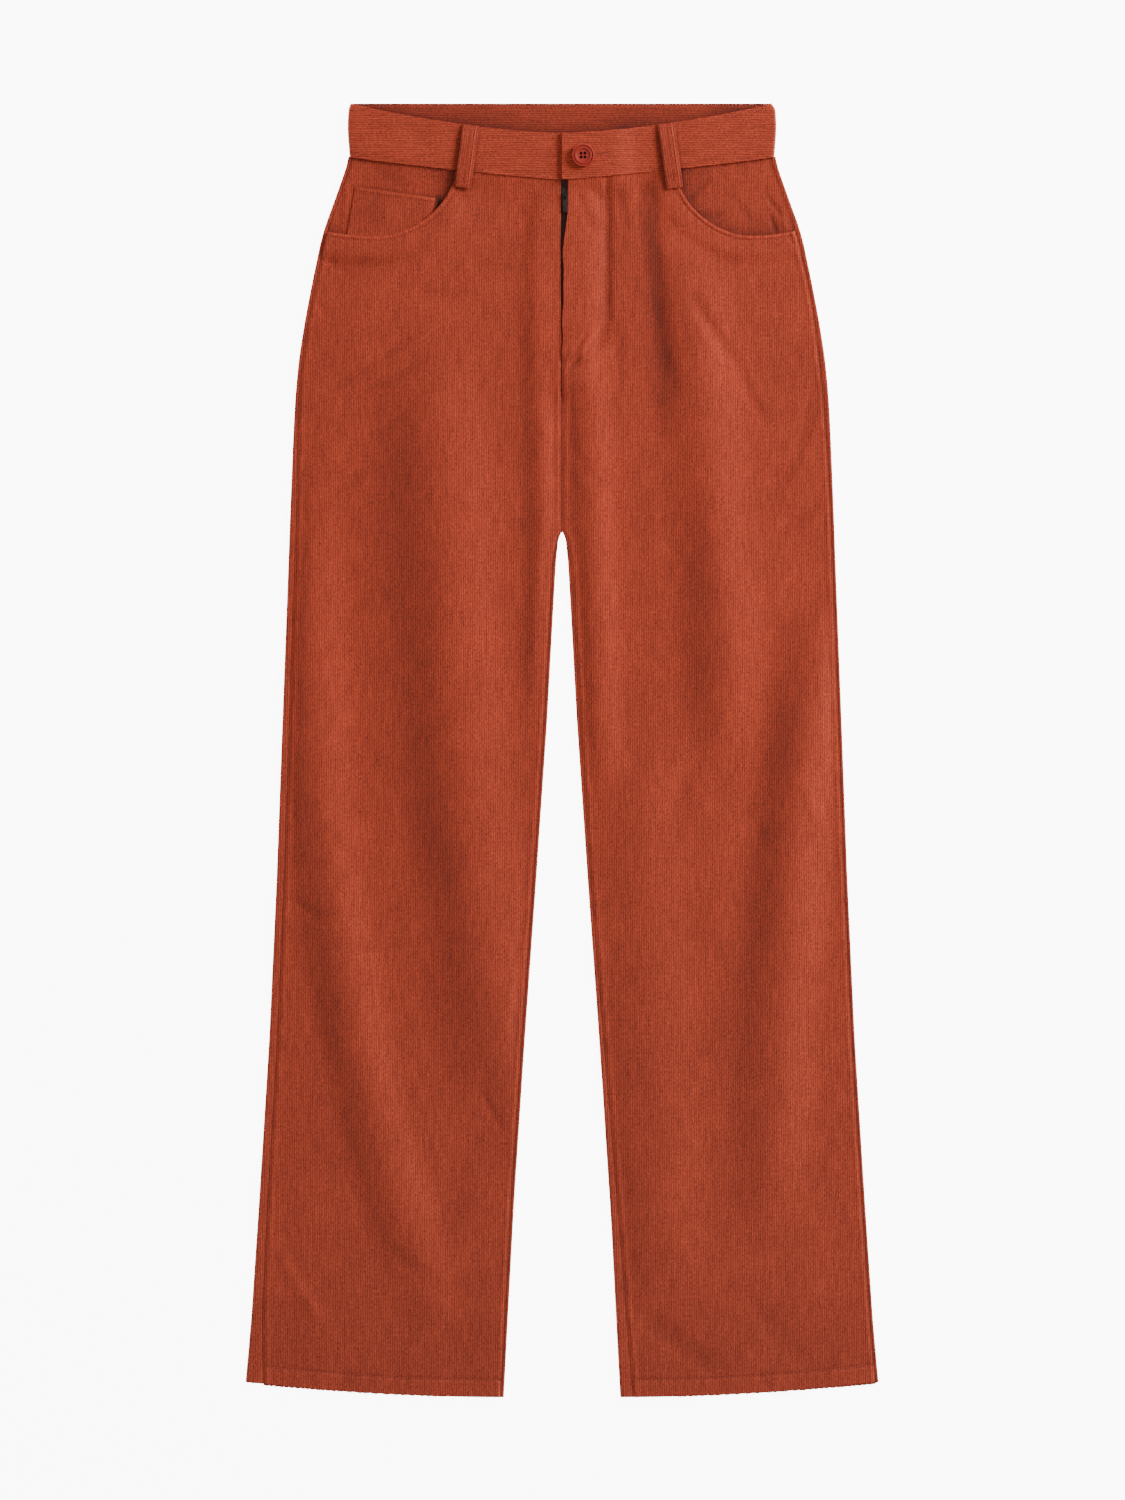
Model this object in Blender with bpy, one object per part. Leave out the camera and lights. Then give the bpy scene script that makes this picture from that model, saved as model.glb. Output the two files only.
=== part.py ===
"""Corduroy trousers laid flat on their back, front up, waist towards +Y.

Each panel is a wall of cloth through rows of section points. The back panels rest on z = 0 and
wrap round both edges of the leg, and the front panels lie between those wraps. Sizes are in
millimetres and become metres where a mesh is made. "right" and "left" are the wearer's sides, so
the right leg is at -X.
"""

import math
from collections import namedtuple

import bmesh
import bpy
from mathutils import Vector

MM = 0.001
RIGHT = -1
LEFT = 1
SIDE_NAMES = {RIGHT: "right", LEFT: "left"}

# Cloth and the stack of layers
CLOTH = 1.2
COIN_CLOTH = 1.0
BAND_CLOTH = 2.4
LOOP_CLOTH = 1.6
BACK_LOOP_CLOTH = 1.2
GAP = 0.3
EDGE_RADIUS = (CLOTH + GAP) / 2
QUARTER_TURN = math.pi * EDGE_RADIUS / 2
TOP_LAYER = CLOTH + GAP + CLOTH / 2

# Waist
TOP_EDGE = 523.7
WAIST_HALF = 172.5
WAIST_DIP = 24.0
WAIST_DIP_POWER = 1.6
BAND_SEAM = 480.0
BAND_SEAM_DIP = 18.0
BAND_SEAM_POWER = 1.2
WAIST_RISE_START = 446.0
WAIST_RISE_END = 472.0
WAIST_RISE = BACK_LOOP_CLOTH + GAP
BACK_BAND_Z = WAIST_RISE + BAND_CLOTH / 2
FRONT_BAND_Z = BACK_BAND_Z + BAND_CLOTH + GAP
OVERLAP_Z = FRONT_BAND_Z + BAND_CLOTH + GAP
UNDERLAP_END = 36.0
BAND_CORNER = (4.0, 6.5)

# Hem, crotch and fly
HEM = -523.7
HEM_RISE = 13.0
HEM_INNER = 47.0
HEM_WIDTH = 210.0
CROTCH = 178.0
CROTCH_EASE = 0.6
CROTCH_EASE_END = 75.0
FLY_END = 316.0
FLY_TOP = 462.0

# Zip
ZIP_X = 2.4
ZIP_FLOOR = 2.4
TAPE_THICK = 1.0
TAPE_WIDTH = 10.6
TAPE_BOTTOM = 320.0
TAPE_TOP = 461.0
CHAIN_HALF = 2.2
CHAIN_THICK = 2.0
CHAIN_TOP = 445.8
SLIDER_HALF = 2.9
SLIDER_LENGTH = 10.0
SLIDER_THICK = 2.8
BAIL_HALF = 0.6
BAIL_HEIGHT = 2.4
BAIL_WALL = 0.9
BAIL_SPAN = 7.0
BAIL_INSET = 1.0
PIVOT_BACK = 1.9
PULL_HALF = 1.8
PULL_LENGTH = 14.0
PULL_THICK = 0.8
PULL_EYE = 2.9
PULL_EYE_HALF = 0.95

# Button and belt loops
BUTTON_PLACE = (17.0, 481.3)
BUTTON_RADIUS = 9.2
BUTTON_THICK = 3.4
BUTTON_DISH = 4.2
BUTTON_HOLE_RADIUS = 0.95
BUTTON_HOLE_SPACING = 3.1
LOOP_HALF_WIDTH = 6.5
LOOP_BULGE = 2.0
LOOP_STEPS = 12
BACK_LOOP_LENGTH = 50.0
BACK_LOOP_X = {"back_centre": 0.0, "side_right": -112.0, "side_left": 112.0}

# Each level of the leg: its outer and inner outline, and how far in from that outline each seam
# shows on the front, because the back panel rolls round the edge.
Level = namedtuple("Level", "y outer inner side_right side_left inseam_right inseam_left")
LEVELS = (
    Level(480, 172.0, 0.0, 3.0, 4.0, 0.0, 0.0),
    Level(446, 184.0, 0.0, 3.0, 4.0, 0.0, 0.0),
    Level(419, 194.0, 0.0, 3.5, 4.0, 0.0, 0.0),
    Level(381, 202.0, 0.0, 2.5, 2.5, 0.0, 0.0),
    Level(349, 208.2, 0.0, 2.2, 3.0, 0.0, 0.0),
    Level(316, 213.4, 0.0, 2.5, 4.5, 0.0, 0.0),
    Level(284, 216.3, 0.0, 2.5, 4.0, 0.0, 0.0),
    Level(251, 217.9, 0.0, 3.5, 3.0, 0.0, 0.0),
    Level(204, 219.8, 0.0, 5.0, 2.0, 0.0, 0.0),
    Level(178, 220.8, 0.0, 5.0, 2.0, 0.17, 0.17),
    Level(171, 221.0, 2.8, 5.0, 2.0, 0.17, 0.17),
    Level(154, 221.6, 4.6, 5.0, 2.0, 2.0, 2.0),
    Level(122, 222.8, 6.5, 5.0, 2.0, 2.0, 2.0),
    Level(25, 226.5, 11.8, 5.5, 2.0, 2.0, 2.0),
    Level(-105, 231.3, 20.7, 6.0, 2.0, 2.0, 2.2),
    Level(-235, 237.3, 30.0, 6.5, 2.0, 2.0, 3.5),
    Level(-364, 245.4, 38.5, 7.0, 2.0, 2.0, 6.0),
    Level(-461, 251.9, 43.7, 9.0, 2.0, 2.0, 8.5),
    Level(-524, 257.5, 47.0, 16.0, 2.0, 2.0, 10.5),
)
LEG_ROWS = (284, 251, 204, 178, 171, 154, 122, 75, 25)
LEG_ROWS += (-40, -105, -170, -235, -300, -364, -413, -461, -492)
EVEN_LEVEL = 381.0

# Fly slit: where each front edge runs beside the centre line
FlyRow = namedtuple("FlyRow", "y right left")
FLY = (
    FlyRow(462, 0.8, 5.7),
    FlyRow(430, 0.8, 5.1),
    FlyRow(381, 0.8, 3.4),
    FlyRow(349, 0.7, 2.2),
    FlyRow(316, 0.15, 0.3),
    FlyRow(284, 0.15, 0.15),
)

# Scooped pocket openings
Scoop = namedtuple("Scoop", "top_x low_x low_y power")
SCOOPS = {RIGHT: Scoop(86.0, 150.0, 414.0, 1.8), LEFT: Scoop(92.0, 152.0, 416.0, 1.8)}
SCOOP_TOP = 471.0
SCOOP_SIDE = 419.0
SCOOP_ANGLES = (0, 25, 45, 66, 90)
BEARER_MARGIN = 8.0
COIN_MARGIN = 6.0
CoinEdge = namedtuple("CoinEdge", "top_x top_y bottom_x")
COIN_OUTER = CoinEdge(-167.2, 456.4, -175.0)
COIN_INNER = CoinEdge(-103.0, 447.1, -106.0)

# Columns of a front panel: place across the waist and share of the leg's width
FRONT_WAIST_X = (12.0, 30.0, 48.0, 66.0)
FRONT_SHARES = (0.08, 0.17, 0.26, 0.35, 0.44, 0.52, 0.60, 0.69, 0.79, 0.89)
SCOOP_FOOT_SHARE = 0.5

# Large folds of the front: crest line by height, half width and height
Fold = namedtuple("Fold", "y_top y_bottom x_top x_mid x_bottom half_width height")
FOLDS = (
    Fold(380, -330, -106, -86, -46, 55, 3.3),
    Fold(260, -500, -203, -187, -90, 36, 2.9),
    Fold(420, 0, -26, -16, -22, 18, 1.5),
    Fold(450, -20, 86, 119, 128, 44, 3.1),
    Fold(150, -420, 214, 182, 168, 40, 3.3),
    Fold(400, -60, 18, 25, 34, 24, 1.9),
    Fold(40, -490, 62, 74, 88, 44, 1.8),
)
FOLD_END = 0.22
FOLD_EDGE = 14.0

# How far the front panel takes to come down from what lifts it
POCKET_FLAT = 13.0
POCKET_FADE = 14.0
FLY_FADE = 18.0
BAND_FADE = 30.0
OVERLAP_FADE = 24.0
UNDERLAP_FADE = 22.0

FrontLoop = namedtuple("FrontLoop", "top_x bottom_x bottom_y")
FRONT_LOOPS = {RIGHT: FrontLoop(-73.5, -80.2, 455.6), LEFT: FrontLoop(84.2, 91.5, 455.2)}

RUST = (0.335, 0.052, 0.022, 1.0)
DARK_METAL = (0.10, 0.095, 0.09, 1.0)
TAPE_BROWN = (0.13, 0.03, 0.018, 1.0)
BUTTON_RED = (0.30, 0.040, 0.028, 1.0)


def clamp(value):
    return max(0.0, min(1.0, value))


def smooth(value):
    share = clamp(value)
    return share * share * (3 - 2 * share)


def mix(first, second, share):
    return first + (second - first) * share


def at_level(rows, y, column):
    """The named column at height y, straight between the two rows round it."""
    if y >= rows[0].y:
        return getattr(rows[0], column)
    for upper, lower in zip(rows, rows[1:]):
        if y >= lower.y:
            share = (upper.y - y) / (upper.y - lower.y)
            return mix(getattr(upper, column), getattr(lower, column), share)
    return getattr(rows[-1], column)


def band_seam(x):
    return BAND_SEAM - BAND_SEAM_DIP * (1 - (abs(x) / WAIST_HALF) ** BAND_SEAM_POWER)


def front_top_edge(x):
    return TOP_EDGE - WAIST_DIP * (1 - (abs(x) / WAIST_HALF) ** WAIST_DIP_POWER)


def hem_line(x):
    share = (abs(x) - HEM_INNER) / HEM_WIDTH
    return HEM + HEM_RISE * share * share


def waist_rise(y):
    """How far the back panel stands off the floor, over the belt loops under it."""
    return WAIST_RISE * clamp((y - WAIST_RISE_START) / (WAIST_RISE_END - WAIST_RISE_START))


def edge_point(roll, y):
    """Distance in from the outline and height of a point, roll along the cloth from the outermost one."""
    centre = waist_rise(y) + CLOTH + GAP / 2
    inset = CLOTH / 2 + EDGE_RADIUS
    if abs(roll) < QUARTER_TURN:
        turn = roll / EDGE_RADIUS
        return inset - EDGE_RADIUS * math.cos(turn), centre + EDGE_RADIUS * math.sin(turn)
    return inset + abs(roll) - QUARTER_TURN, centre + math.copysign(EDGE_RADIUS, roll)


def seam_roll(y, side, seam):
    inset = at_level(LEVELS, y, seam + "_" + SIDE_NAMES[side])
    return QUARTER_TURN + inset - CLOTH / 2 - EDGE_RADIUS


def wrap_rolls(y, side, seam):
    """Rolls of the back panel's columns from the flat of the back, round the edge, to the seam."""
    end = seam_roll(y, side, seam) - GAP / 2
    turn_end = min(end - GAP, QUARTER_TURN)
    turn = [mix(-QUARTER_TURN, turn_end, k / 4) for k in range(5)]
    return turn + [mix(turn_end, end, 0.5), end]


def front_rolls(y, side, seam):
    """Rolls of a front panel's first columns, a little clearer of the back where the legs divide."""
    start = seam_roll(y, side, seam) + GAP / 2
    if seam == "inseam":
        start += CROTCH_EASE * clamp((y - CROTCH_EASE_END) / (CROTCH - CROTCH_EASE_END))
    return [start, start + 0.5, start + 1.0]


def edge_columns(y, side, seam, rolls):
    """(distance from the centre line, height) of each roll, at the outer edge or at the inseam."""
    outline = at_level(LEVELS, y, "outer" if seam == "side" else "inner")
    inward = -1 if seam == "side" else 1
    return [(outline + inward * edge_point(roll, y)[0], edge_point(roll, y)[1]) for roll in rolls]


def scoop_y(x, side, margin=0.0):
    """Height of the pocket opening's edge at x, or of a line that far outside it."""
    scoop = SCOOPS[side]
    low = scoop.low_y - margin
    if abs(x) >= scoop.low_x:
        seam_x = at_level(LEVELS, SCOOP_SIDE, "outer")
        share = (abs(x) - scoop.low_x) / (seam_x - scoop.low_x)
        return low + (SCOOP_SIDE - scoop.low_y) * min(share, 1.0) ** 2
    reach = scoop.low_x - scoop.top_x + margin
    across = clamp((scoop.low_x - abs(x)) / reach)
    return SCOOP_TOP - (SCOOP_TOP - low) * (1 - across**scoop.power) ** (1 / scoop.power)


def scoop_distance(x, y, side):
    """Roughly how far a point of the front panel is outside the pocket opening."""
    scoop = SCOOPS[side]
    if abs(x) >= scoop.low_x:
        return scoop_y(x, side) - y
    across = (scoop.low_x - abs(x)) / (scoop.low_x - scoop.top_x)
    down = max(SCOOP_TOP - y, 0.0) / (SCOOP_TOP - scoop.low_y)
    reach = (across**scoop.power + down**scoop.power) ** (1 / scoop.power)
    return (reach - 1) * (SCOOP_TOP - scoop.low_y)


def fold_height(x, y):
    """Height of the large folds over the flat front."""
    height = 0.0
    for fold in FOLDS:
        t = (fold.y_top - y) / (fold.y_top - fold.y_bottom)
        if not 0 < t < 1:
            continue
        crest = (
            fold.x_top * (2 * t - 1) * (t - 1)
            + fold.x_mid * 4 * t * (1 - t)
            + fold.x_bottom * t * (2 * t - 1)
        )
        away = abs(x - crest) / fold.half_width
        if away < 1:
            ends = smooth(t / FOLD_END) * smooth((1 - t) / FOLD_END)
            height += fold.height * ends * (0.5 + 0.5 * math.cos(math.pi * away))
    return height


def pocket_lift(x, y, side):
    """Lift of the front panel over the pocket bearer and the coin pocket near the opening."""
    near = smooth(1 - (scoop_distance(x, y, side) - POCKET_FLAT) / POCKET_FADE)
    over_bearer = CLOTH + GAP + 0.15
    over_coin = (COIN_CLOTH + GAP) * clamp((abs(x) - 80) / 6) if side == RIGHT else 0.0
    return (over_bearer + over_coin) * near


def fly_lift(x, y, side):
    """Lift of the front panel over the zip."""
    if side == RIGHT:
        top = ZIP_FLOOR + TAPE_THICK
    else:
        top = ZIP_FLOOR + CHAIN_THICK
        top += (SLIDER_THICK - CHAIN_THICK) * smooth((y - CHAIN_TOP + 20) / 12)
    height = top + GAP + CLOTH / 2 - TOP_LAYER - waist_rise(y) + 0.1
    along = smooth((y - FLY_END + 40) / 24)
    return height * along * smooth(1 - (abs(x) - TAPE_WIDTH - 8) / FLY_FADE)


def band_lift(x, y, side):
    """Lift of the front panel up to the waistband that it is sewn to."""
    below = band_seam(x) - y
    lift = (FRONT_BAND_Z - TOP_LAYER - WAIST_RISE) * smooth(1 - below / BAND_FADE)
    if side == LEFT:
        over = (OVERLAP_Z - FRONT_BAND_Z) * smooth(1 - below / OVERLAP_FADE)
        lift += over * smooth(1 - (abs(x) - UNDERLAP_END - 4) / UNDERLAP_FADE)
    return lift


def front_lift(x, y, side):
    """Everything that raises the front panel's middle over its flat height."""
    outer = at_level(LEVELS, y, "outer")
    inner = at_level(LEVELS, y, "inner")
    fade = smooth((outer - abs(x)) / FOLD_EDGE)
    if y < CROTCH:
        fade *= smooth((abs(x) - inner) / FOLD_EDGE)
    layers = max(pocket_lift(x, y, side), fly_lift(x, y, side), band_lift(x, y, side))
    return max(layers, fold_height(x, y) * fade)


def front_middle(x, y, side):
    return waist_rise(y) + TOP_LAYER + front_lift(x, y, side)


def grid_normals(grid):
    """A unit normal at each point of a grid, from its neighbours."""
    normals = []
    for i, row in enumerate(grid):
        above = grid[max(i - 1, 0)]
        below = grid[min(i + 1, len(grid) - 1)]
        line = []
        for j in range(len(row)):
            across = row[min(j + 1, len(row) - 1)] - row[max(j - 1, 0)]
            line.append(across.cross(above[j] - below[j]).normalized())
        normals.append(line)
    return normals


def wall_mesh(grid, thick):
    """A closed wall of this thickness round a grid of middle points, in millimetres."""
    bm = bmesh.new()
    normals = grid_normals(grid)
    layers = []
    for sign in (0.5, -0.5):
        layers.append(
            [
                [bm.verts.new((p + n * thick * sign) * MM) for p, n in zip(row, line)]
                for row, line in zip(grid, normals)
            ]
        )
    over, under = layers
    rows = len(grid)
    columns = len(grid[0])
    for i in range(rows - 1):
        for j in range(columns - 1):
            bm.faces.new((over[i][j], over[i + 1][j], over[i + 1][j + 1], over[i][j + 1]))
            bm.faces.new((under[i][j + 1], under[i + 1][j + 1], under[i + 1][j], under[i][j]))
    rim = [(0, j) for j in range(columns)]
    rim += [(i, columns - 1) for i in range(1, rows)]
    rim += [(rows - 1, j) for j in range(columns - 2, -1, -1)]
    rim += [(i, 0) for i in range(rows - 2, 0, -1)]
    for (i, j), (m, n) in zip(rim, rim[1:] + rim[:1]):
        bm.faces.new((over[i][j], over[m][n], under[m][n], under[i][j]))
    bmesh.ops.recalc_face_normals(bm, faces=bm.faces)
    return bm


def new_object(name, bm, material, smooth_angle=None):
    mesh = bpy.data.meshes.new(name)
    bm.to_mesh(mesh)
    bm.free()
    mesh.materials.append(material)
    if smooth_angle is not None:
        mesh.shade_smooth()
        mesh.set_sharp_from_angle(angle=math.radians(smooth_angle))
    obj = bpy.data.objects.new(name, mesh)
    bpy.context.scene.collection.objects.link(obj)
    return obj


def new_material(name, color, roughness, metallic=0.0):
    material = bpy.data.materials.new(name)
    material.use_nodes = True
    shader = material.node_tree.nodes["Principled BSDF"]
    shader.inputs["Base Color"].default_value = color
    shader.inputs["Roughness"].default_value = roughness
    shader.inputs["Metallic"].default_value = metallic
    return material


def cloth_piece(name, grid, thick, material):
    return new_object(name, wall_mesh(grid, thick), material, 40)


def back_row(y, side):
    """Points across a back panel from the centre or inseam to the side seam."""
    if y >= CROTCH:
        middle = waist_rise(y) + CLOTH / 2
        inner = [(GAP / 2 + 0.5 * k, middle) for k in range(7)]
    else:
        inner = edge_columns(y, side, "inseam", reversed(wrap_rolls(y, side, "inseam")))
    outer = edge_columns(y, side, "side", wrap_rolls(y, side, "side"))
    flat = [(mix(inner[-1][0], outer[0][0], share), outer[0][1]) for share in (0.25, 0.5, 0.75)]
    return inner + flat + outer


def back_panel(side, material):
    rows = [BAND_SEAM - GAP, WAIST_RISE_END, 459, WAIST_RISE_START, 419, 381, 349, 316]
    grid = []
    for y in rows + list(LEG_ROWS):
        grid.append([Vector((side * x, y, z)) for x, z in back_row(y, side)])
    last = back_row(HEM, side)
    grid.append([Vector((side * x, hem_line(x), z)) for x, z in last])
    return cloth_piece("back_" + SIDE_NAMES[side], grid, CLOTH, material)


def front_inner(y, side):
    """Distance of a front panel's inner edge from the centre line, at the fly and centre seam."""
    if y >= FLY[-1].y:
        return at_level(FLY, y, SIDE_NAMES[side])
    return GAP / 2


def front_edge(y, side, seam):
    """Distances and heights of the three columns next to a seam."""
    if seam == "inseam" and y >= CROTCH:
        height = waist_rise(y) + TOP_LAYER
        return [(front_inner(y, side) + 0.5 * k, height) for k in range(3)]
    columns = edge_columns(y, side, seam, front_rolls(y, side, seam))
    return columns if seam == "inseam" else columns[::-1]


def front_tops(side):
    """The top of each middle column: along the waistband seam, then round the pocket opening."""
    scoop = SCOOPS[side]
    tops = [(x, band_seam(x) - GAP) for x in FRONT_WAIST_X]
    for angle in SCOOP_ANGLES:
        turn = math.radians(angle)
        x = scoop.low_x - (scoop.low_x - scoop.top_x) * math.cos(turn) ** (2 / scoop.power)
        tops.append((x, min(scoop_y(x, side), band_seam(x) - GAP)))
    foot = at_level(LEVELS, SCOOP_SIDE, "outer")
    x = mix(scoop.low_x, foot, SCOOP_FOOT_SHARE)
    tops.append((x, scoop_y(x, side)))
    return tops


def front_row(y_of, side, last_level):
    """One row of a front panel; y_of gives a column's height from that of its top."""
    inner_y = y_of(band_seam(0) - GAP)
    outer_y = y_of(SCOOP_SIDE)
    row = [(x, inner_y, z) for x, z in front_edge(inner_y, side, "inseam")]
    for (top_x, top_y), share in zip(front_tops(side), FRONT_SHARES):
        y = y_of(top_y)
        fade = smooth((y - last_level) / (top_y - last_level))
        top_place = mix(front_place(top_y, side, 0), front_place(top_y, side, 1), share)
        place = mix(front_place(y, side, 0), front_place(y, side, 1), share)
        row.append((place + (top_x - top_place) * fade, y, waist_rise(y) + TOP_LAYER))
    row += [(x, outer_y, z) for x, z in front_edge(outer_y, side, "side")]
    return row


def front_place(y, side, end):
    """Where the middle columns of a front panel start (0) and end (1) at height y."""
    return front_edge(y, side, "side")[0][0] if end else front_edge(y, side, "inseam")[-1][0]


def front_panel(side, material):
    rows = [
        front_row(lambda top, share=share: mix(top, EVEN_LEVEL, share), side, EVEN_LEVEL)
        for share in (0, 0.12, 0.28, 0.5, 0.75)
    ]
    for y in (381, 349, 316) + LEG_ROWS:
        rows.append(front_row(lambda top, y=y: y, side, EVEN_LEVEL))
    hem = [(x, hem_line(x), z) for x, _, z in front_row(lambda top: HEM, side, EVEN_LEVEL)]
    grid = []
    for row in rows + [hem]:
        grid.append([Vector((side * x, y, z + front_lift(side * x, y, side))) for x, y, z in row])
    return cloth_piece("front_" + SIDE_NAMES[side], grid, CLOTH, material)


def pocket_bearer(side, material):
    """The panel behind a pocket opening, sewn into the waistband and the side seam."""
    scoop = SCOOPS[side]
    outer_levels = (BAND_SEAM - GAP, WAIST_RISE_END, WAIST_RISE_START, SCOOP_SIDE)
    outer_levels += (SCOOP_SIDE - BEARER_MARGIN,)
    span = outer_levels[0] - outer_levels[-1]
    grid = []
    for level in outer_levels:
        down = (outer_levels[0] - level) / span
        row = []
        for k in range(10):
            share = k / 9
            strip = at_level(LEVELS, level, "side_" + SIDE_NAMES[side])
            seam = at_level(LEVELS, level, "outer") - strip
            x = mix(scoop.top_x - BEARER_MARGIN + 1.5, seam - GAP / 2, share)
            y = mix(band_seam(x) - GAP, scoop_y(x, side, BEARER_MARGIN), down)
            if k == 9:
                y = level
            row.append(Vector((side * x, y, waist_rise(y) + TOP_LAYER)))
        grid.append(row)
    return cloth_piece("pocket_bearer_" + SIDE_NAMES[side], grid, CLOTH, material)


def coin_pocket(material):
    """The small pocket on the right bearer, its foot hidden under the front panel."""
    grid = []
    for i in range(5):
        down = i / 4
        row = []
        for k in range(7):
            share = k / 6
            top_y = mix(COIN_OUTER.top_y, COIN_INNER.top_y, share)
            outer_x = mix(COIN_OUTER.top_x, COIN_OUTER.bottom_x, down)
            inner_x = mix(COIN_INNER.top_x, COIN_INNER.bottom_x, down)
            x = mix(outer_x, inner_x, share)
            y = mix(top_y, scoop_y(x, RIGHT, COIN_MARGIN), down)
            height = waist_rise(y) + TOP_LAYER + CLOTH / 2 + GAP + COIN_CLOTH / 2
            row.append(Vector((x, y, height)))
        grid.append(row)
    return cloth_piece("coin_pocket", grid, COIN_CLOTH, material)


def band_turn(side, start, end):
    """Points round the waistband's fold at one side, by angle from straight up."""
    radius = (FRONT_BAND_Z - BACK_BAND_Z) / 2
    centre_x = WAIST_HALF - BAND_CLOTH / 2 - radius
    centre_z = (FRONT_BAND_Z + BACK_BAND_Z) / 2
    points = []
    for k in range(7):
        turn = math.radians(mix(start, end, k / 6))
        front_share = (1 + math.cos(turn)) / 2
        top = mix(TOP_EDGE, front_top_edge(WAIST_HALF - 2), front_share)
        x = side * (centre_x + radius * math.sin(turn))
        points.append((x, centre_z + radius * math.cos(turn), BAND_SEAM, top))
    return points


def overlap_height(x):
    return mix(FRONT_BAND_Z, OVERLAP_Z, smooth((62 - x) / 20))


def waistband(material):
    """One doubled strip from the underlap, round the back, to the end that laps over it."""
    corner_x, corner_y = BAND_CORNER
    path = []
    for x in (UNDERLAP_END, 22, 8, -5, -16, -45, -75, -105, -135, -160):
        path.append((x, FRONT_BAND_Z, band_seam(x), front_top_edge(x)))
    path += band_turn(RIGHT, 0, 180)
    for x in (-150, -100, -50, 0, 50, 100, 150):
        path.append((x, BACK_BAND_Z, BAND_SEAM, TOP_EDGE))
    path += band_turn(LEFT, 180, 0)
    for x in (160, 135, 105, 80, 62, 57, 52, 47, 42, 30, 18, corner_x):
        path.append((x, overlap_height(x), band_seam(x), front_top_edge(x)))
    path.append((0.0, OVERLAP_Z, band_seam(0) + corner_y, front_top_edge(0)))
    grid = [[Vector((x, top, z)), Vector((x, bottom, z))] for x, z, bottom, top in path]
    return cloth_piece("waistband", grid, BAND_CLOTH, material)


def under_loop(x, y, side):
    """Top of whatever a front belt loop crosses at this place."""
    if y > band_seam(x) - 3:
        return FRONT_BAND_Z + BAND_CLOTH / 2
    across = [x - LOOP_HALF_WIDTH, x, x + LOOP_HALF_WIDTH]
    return max(front_middle(place, y, side) for place in across) + CLOTH / 2


def front_loop(side, material):
    """A belt loop that stands off the band, sewn at the band's top edge and under its seam."""
    loop = FRONT_LOOPS[side]
    top = Vector((loop.top_x, front_top_edge(loop.top_x)))
    foot = Vector((loop.bottom_x, loop.bottom_y))
    along = (top - foot).normalized()
    across = Vector((along.y, -along.x)) * LOOP_HALF_WIDTH
    grid = []
    for k in range(LOOP_STEPS + 1):
        share = k / LOOP_STEPS
        place = top.lerp(foot, share)
        bulge = LOOP_BULGE * smooth(share / 0.25) * smooth((1 - share) / 0.3)
        height = under_loop(place.x, place.y, side) + GAP + 0.15 + LOOP_CLOTH / 2 + bulge
        ends = (place - across, place + across)
        grid.append([Vector((end.x, end.y, height)) for end in ends])
    return cloth_piece("belt_loop_front_" + SIDE_NAMES[side], grid, LOOP_CLOTH, material)


def back_loop(name, x, material):
    """A belt loop pressed flat between the floor and the back of the band."""
    grid = []
    for y in (TOP_EDGE - GAP, TOP_EDGE - BACK_LOOP_LENGTH):
        ends = (x - LOOP_HALF_WIDTH, x + LOOP_HALF_WIDTH)
        grid.append([Vector((end, y, BACK_LOOP_CLOTH / 2)) for end in ends])
    return cloth_piece("belt_loop_" + name, grid, BACK_LOOP_CLOTH, material)


def zip_tape(side, material):
    """One tape of the zip, narrower beside the slider."""
    grid = []
    for y in (TAPE_TOP, CHAIN_TOP - 1.5, CHAIN_TOP - 4, TAPE_BOTTOM):
        slider = SLIDER_HALF if y > CHAIN_TOP - 3 else CHAIN_HALF
        inner = ZIP_X + side * (slider + GAP)
        outer = ZIP_X + side * (CHAIN_HALF + TAPE_WIDTH)
        row = [Vector((x, y, ZIP_FLOOR + TAPE_THICK / 2)) for x in sorted((inner, outer))]
        grid.append(row)
    return cloth_piece("zip_tape_" + SIDE_NAMES[side], grid, TAPE_THICK, material)


def plate_mesh(outline, bottom, top):
    """A plate of this plan outline between two heights."""
    bm = bmesh.new()
    base = bm.faces.new([bm.verts.new(Vector((x, y, bottom)) * MM) for x, y in outline])
    risen = bmesh.ops.extrude_face_region(bm, geom=[base])["geom"]
    lifted = [item for item in risen if isinstance(item, bmesh.types.BMVert)]
    bmesh.ops.translate(bm, verts=lifted, vec=(0, 0, (top - bottom) * MM))
    bmesh.ops.recalc_face_normals(bm, faces=bm.faces)
    return bm


def zip_chain(material):
    """The closed rows of teeth as one plain bar."""
    half = CHAIN_HALF
    outline = [
        (ZIP_X - half, TAPE_BOTTOM + 4),
        (ZIP_X + half, TAPE_BOTTOM + 4),
        (ZIP_X + half, CHAIN_TOP),
        (ZIP_X - half, CHAIN_TOP),
    ]
    return new_object("zip_chain", plate_mesh(outline, ZIP_FLOOR, ZIP_FLOOR + CHAIN_THICK), material)


def cut_or_join(obj, tool, operation):
    tool.hide_render = True
    tool.display_type = "WIRE"
    modifier = obj.modifiers.new(tool.name, "BOOLEAN")
    modifier.operation = operation
    modifier.object = tool


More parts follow.
